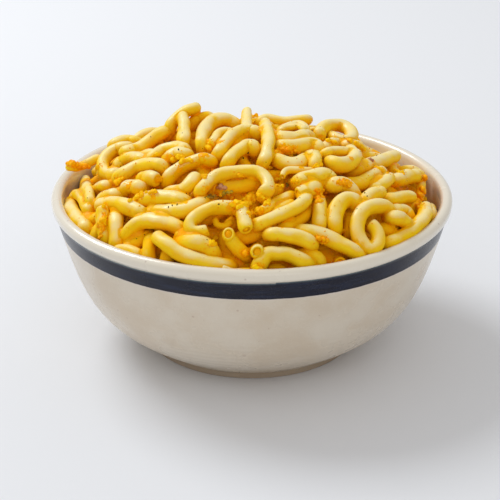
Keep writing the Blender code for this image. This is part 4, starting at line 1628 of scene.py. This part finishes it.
def makeSprinkleTree():
    # small uneven grains, one on every point, turned and squashed at random
    tree, given, result = newTree(
        "sprinkledBits", ("Flatness", "Float", 0.55), ("Seed", "Int", 0), ("Material", "Material", None))
    grain = addNode(tree, "GeometryNodeMeshIcoSphere")
    turn = addNode(tree, "FunctionNodeRandomValue", data_type="FLOAT_VECTOR")
    turn.inputs["Max"].default_value = (6.28, 6.28, 6.28)
    feed(tree, given.outputs["Seed"], turn.inputs["Seed"])
    radius = readNumber(tree, "pointRadius")
    stretch = addNode(tree, "FunctionNodeRandomValue")
    stretch.inputs[2].default_value, stretch.inputs[3].default_value = sprinkle["stretch"]
    feed(tree, given.outputs["Seed"], stretch.inputs["Seed"])
    squash = fromParts(tree, times(tree, radius, stretch.outputs[1]), radius,
                       times(tree, radius, given.outputs["Flatness"]))
    copies = through(tree, "GeometryNodeInstanceOnPoints", given.outputs["Geometry"],
                     Instance=grain.outputs[0], Rotation=turn.outputs[0], Scale=squash)
    real = through(tree, "GeometryNodeRealizeInstances", copies)
    dents = addNode(tree, "ShaderNodeTexNoise")
    dents.inputs["Scale"].default_value = sprinkle["dentScale"]
    shift = vectorMaths(tree, "SUBTRACT", dents.outputs["Color"], (0.5, 0.5, 0.5))
    shift = vectorMaths(tree, "SCALE", shift, scale=sprinkle["dents"])
    dress(tree, through(tree, "GeometryNodeSetPosition", real, Offset=shift), given, result)
    return tree


def makeBitMaterial(name, light, dark, roughness, scale, coat):
    material, tree, shader = newMaterial(
        name, roughness, Coat_Roughness=0.25, Coat_Weight=coat, Specular_IOR_Level=0.05)
    patches, _, relief = mottle(
        tree, Patch_Scale=scale, Patch_Softness=0.6, Patch_Twist=0.5, Grain_Scale=scale * 4, Grain_Relief=1.0)
    base = blendColour(tree, spread(tree, patches, 0.36, 0.64), tone(*dark), tone(*light))
    feed(tree, base, shader.inputs["Base Color"])
    addRelief(tree, shader, relief, 0.6, 0.0003)
    return material


print("set cheese and sprinkled bits")
draw = random.Random(sprinkle["seed"])
lumpKinds = [
    # piece, its spots, material, light and dark tones, roughness, patch scale, coat
    ("cheeseCurds", curdSpots, "setCheese", (255, 208, 8), (253, 180, 0), 0.45, 420.0, 0.04),
    ("darkCrust", darkCrustSpots, "bakedCheese", (255, 184, 0), (251, 156, 0), 0.40, 300.0, 0.05),
    ("herbBits", herbSpots, "herb", (222, 186, 40), (146, 130, 50), 0.50, 380.0, 0.2),
    ("onionBits", onionSpots, "brownedOnion", (214, 160, 116), (168, 108, 78), 0.45, 500.0, 0.3),
]
for name, spots, *finish in lumpKinds:
    points, radii = lumpPoints(surfaces, spots, draw)
    cloud = makePointCloud(name + "Points", points, radii)
    piece = bakeTree(cloud, name, cheeseTree, Voxel=lump["voxel"], Softening=lump["softening"],
                     Grain_Height=lump["grainHeight"], Grain_Scale=lump["grainScale"],
                     Material=makeBitMaterial(*finish))
    print(name, len(piece.data.polygons), "faces")
    finishPiece(piece, "cheese_macaroni")


def scatterBits(count, sizes, clumping):
    # more of them lie near the set cheese than on clean stretches
    points, radii = [], []
    while len(points) < count:
        if draw.random() < clumping:
            x, y, wide, deep = draw.choice(curdSpots + darkCrustSpots)[:4]
            x, y = (x + draw.gauss(0, wide * 2.2)) * mm, (y + draw.gauss(0, deep * 2.6)) * mm
        else:
            spin, away = draw.uniform(0, 2 * math.pi), sprinkle["within"] * math.sqrt(draw.random())
            x, y = away * math.cos(spin), away * math.sin(spin)
        hit, _ = land(surfaces, x, y)
        if hit is not None:
            points.append(hit)
            radii.append(sizes[0] + (sizes[1] - sizes[0]) * draw.random() ** 2)
    return points, radii


def layBits(name, points, radii, flatness, seed, material):
    cloud = makePointCloud(name + "Points", points, radii)
    piece = bakeTree(cloud, name, sprinkleTree, Flatness=flatness, Seed=seed, Material=material)
    finishPiece(piece, "cheese_macaroni")


sprinkleTree = makeSprinkleTree()
points, radii = scatterBits(sprinkle["crumbs"], sprinkle["crumbSizes"], sprinkle["crumbClumping"])
crumbMaterial = makeBitMaterial("cheeseCrumb", (252, 188, 4), (244, 156, 0), 0.5, 700.0, 0.04)
layBits("cheeseCrumbs", points, radii, 0.75, 1, crumbMaterial)

points, radii = scatterBits(sprinkle["pepper"], sprinkle["pepperSizes"], sprinkle["pepperClumping"])
for x, y, size in pepperSpots:
    hit, normal = land(surfaces, x * mm, y * mm)
    if hit is not None:
        points.append(hit + normal * 0.0001)
        radii.append(size * mm)
pepperMaterial = makeBitMaterial("blackPepper", (96, 70, 40), (34, 26, 20), 0.6, 900.0, 0.0)
layBits("crackedPepper", points, radii, 0.5, 2, pepperMaterial)
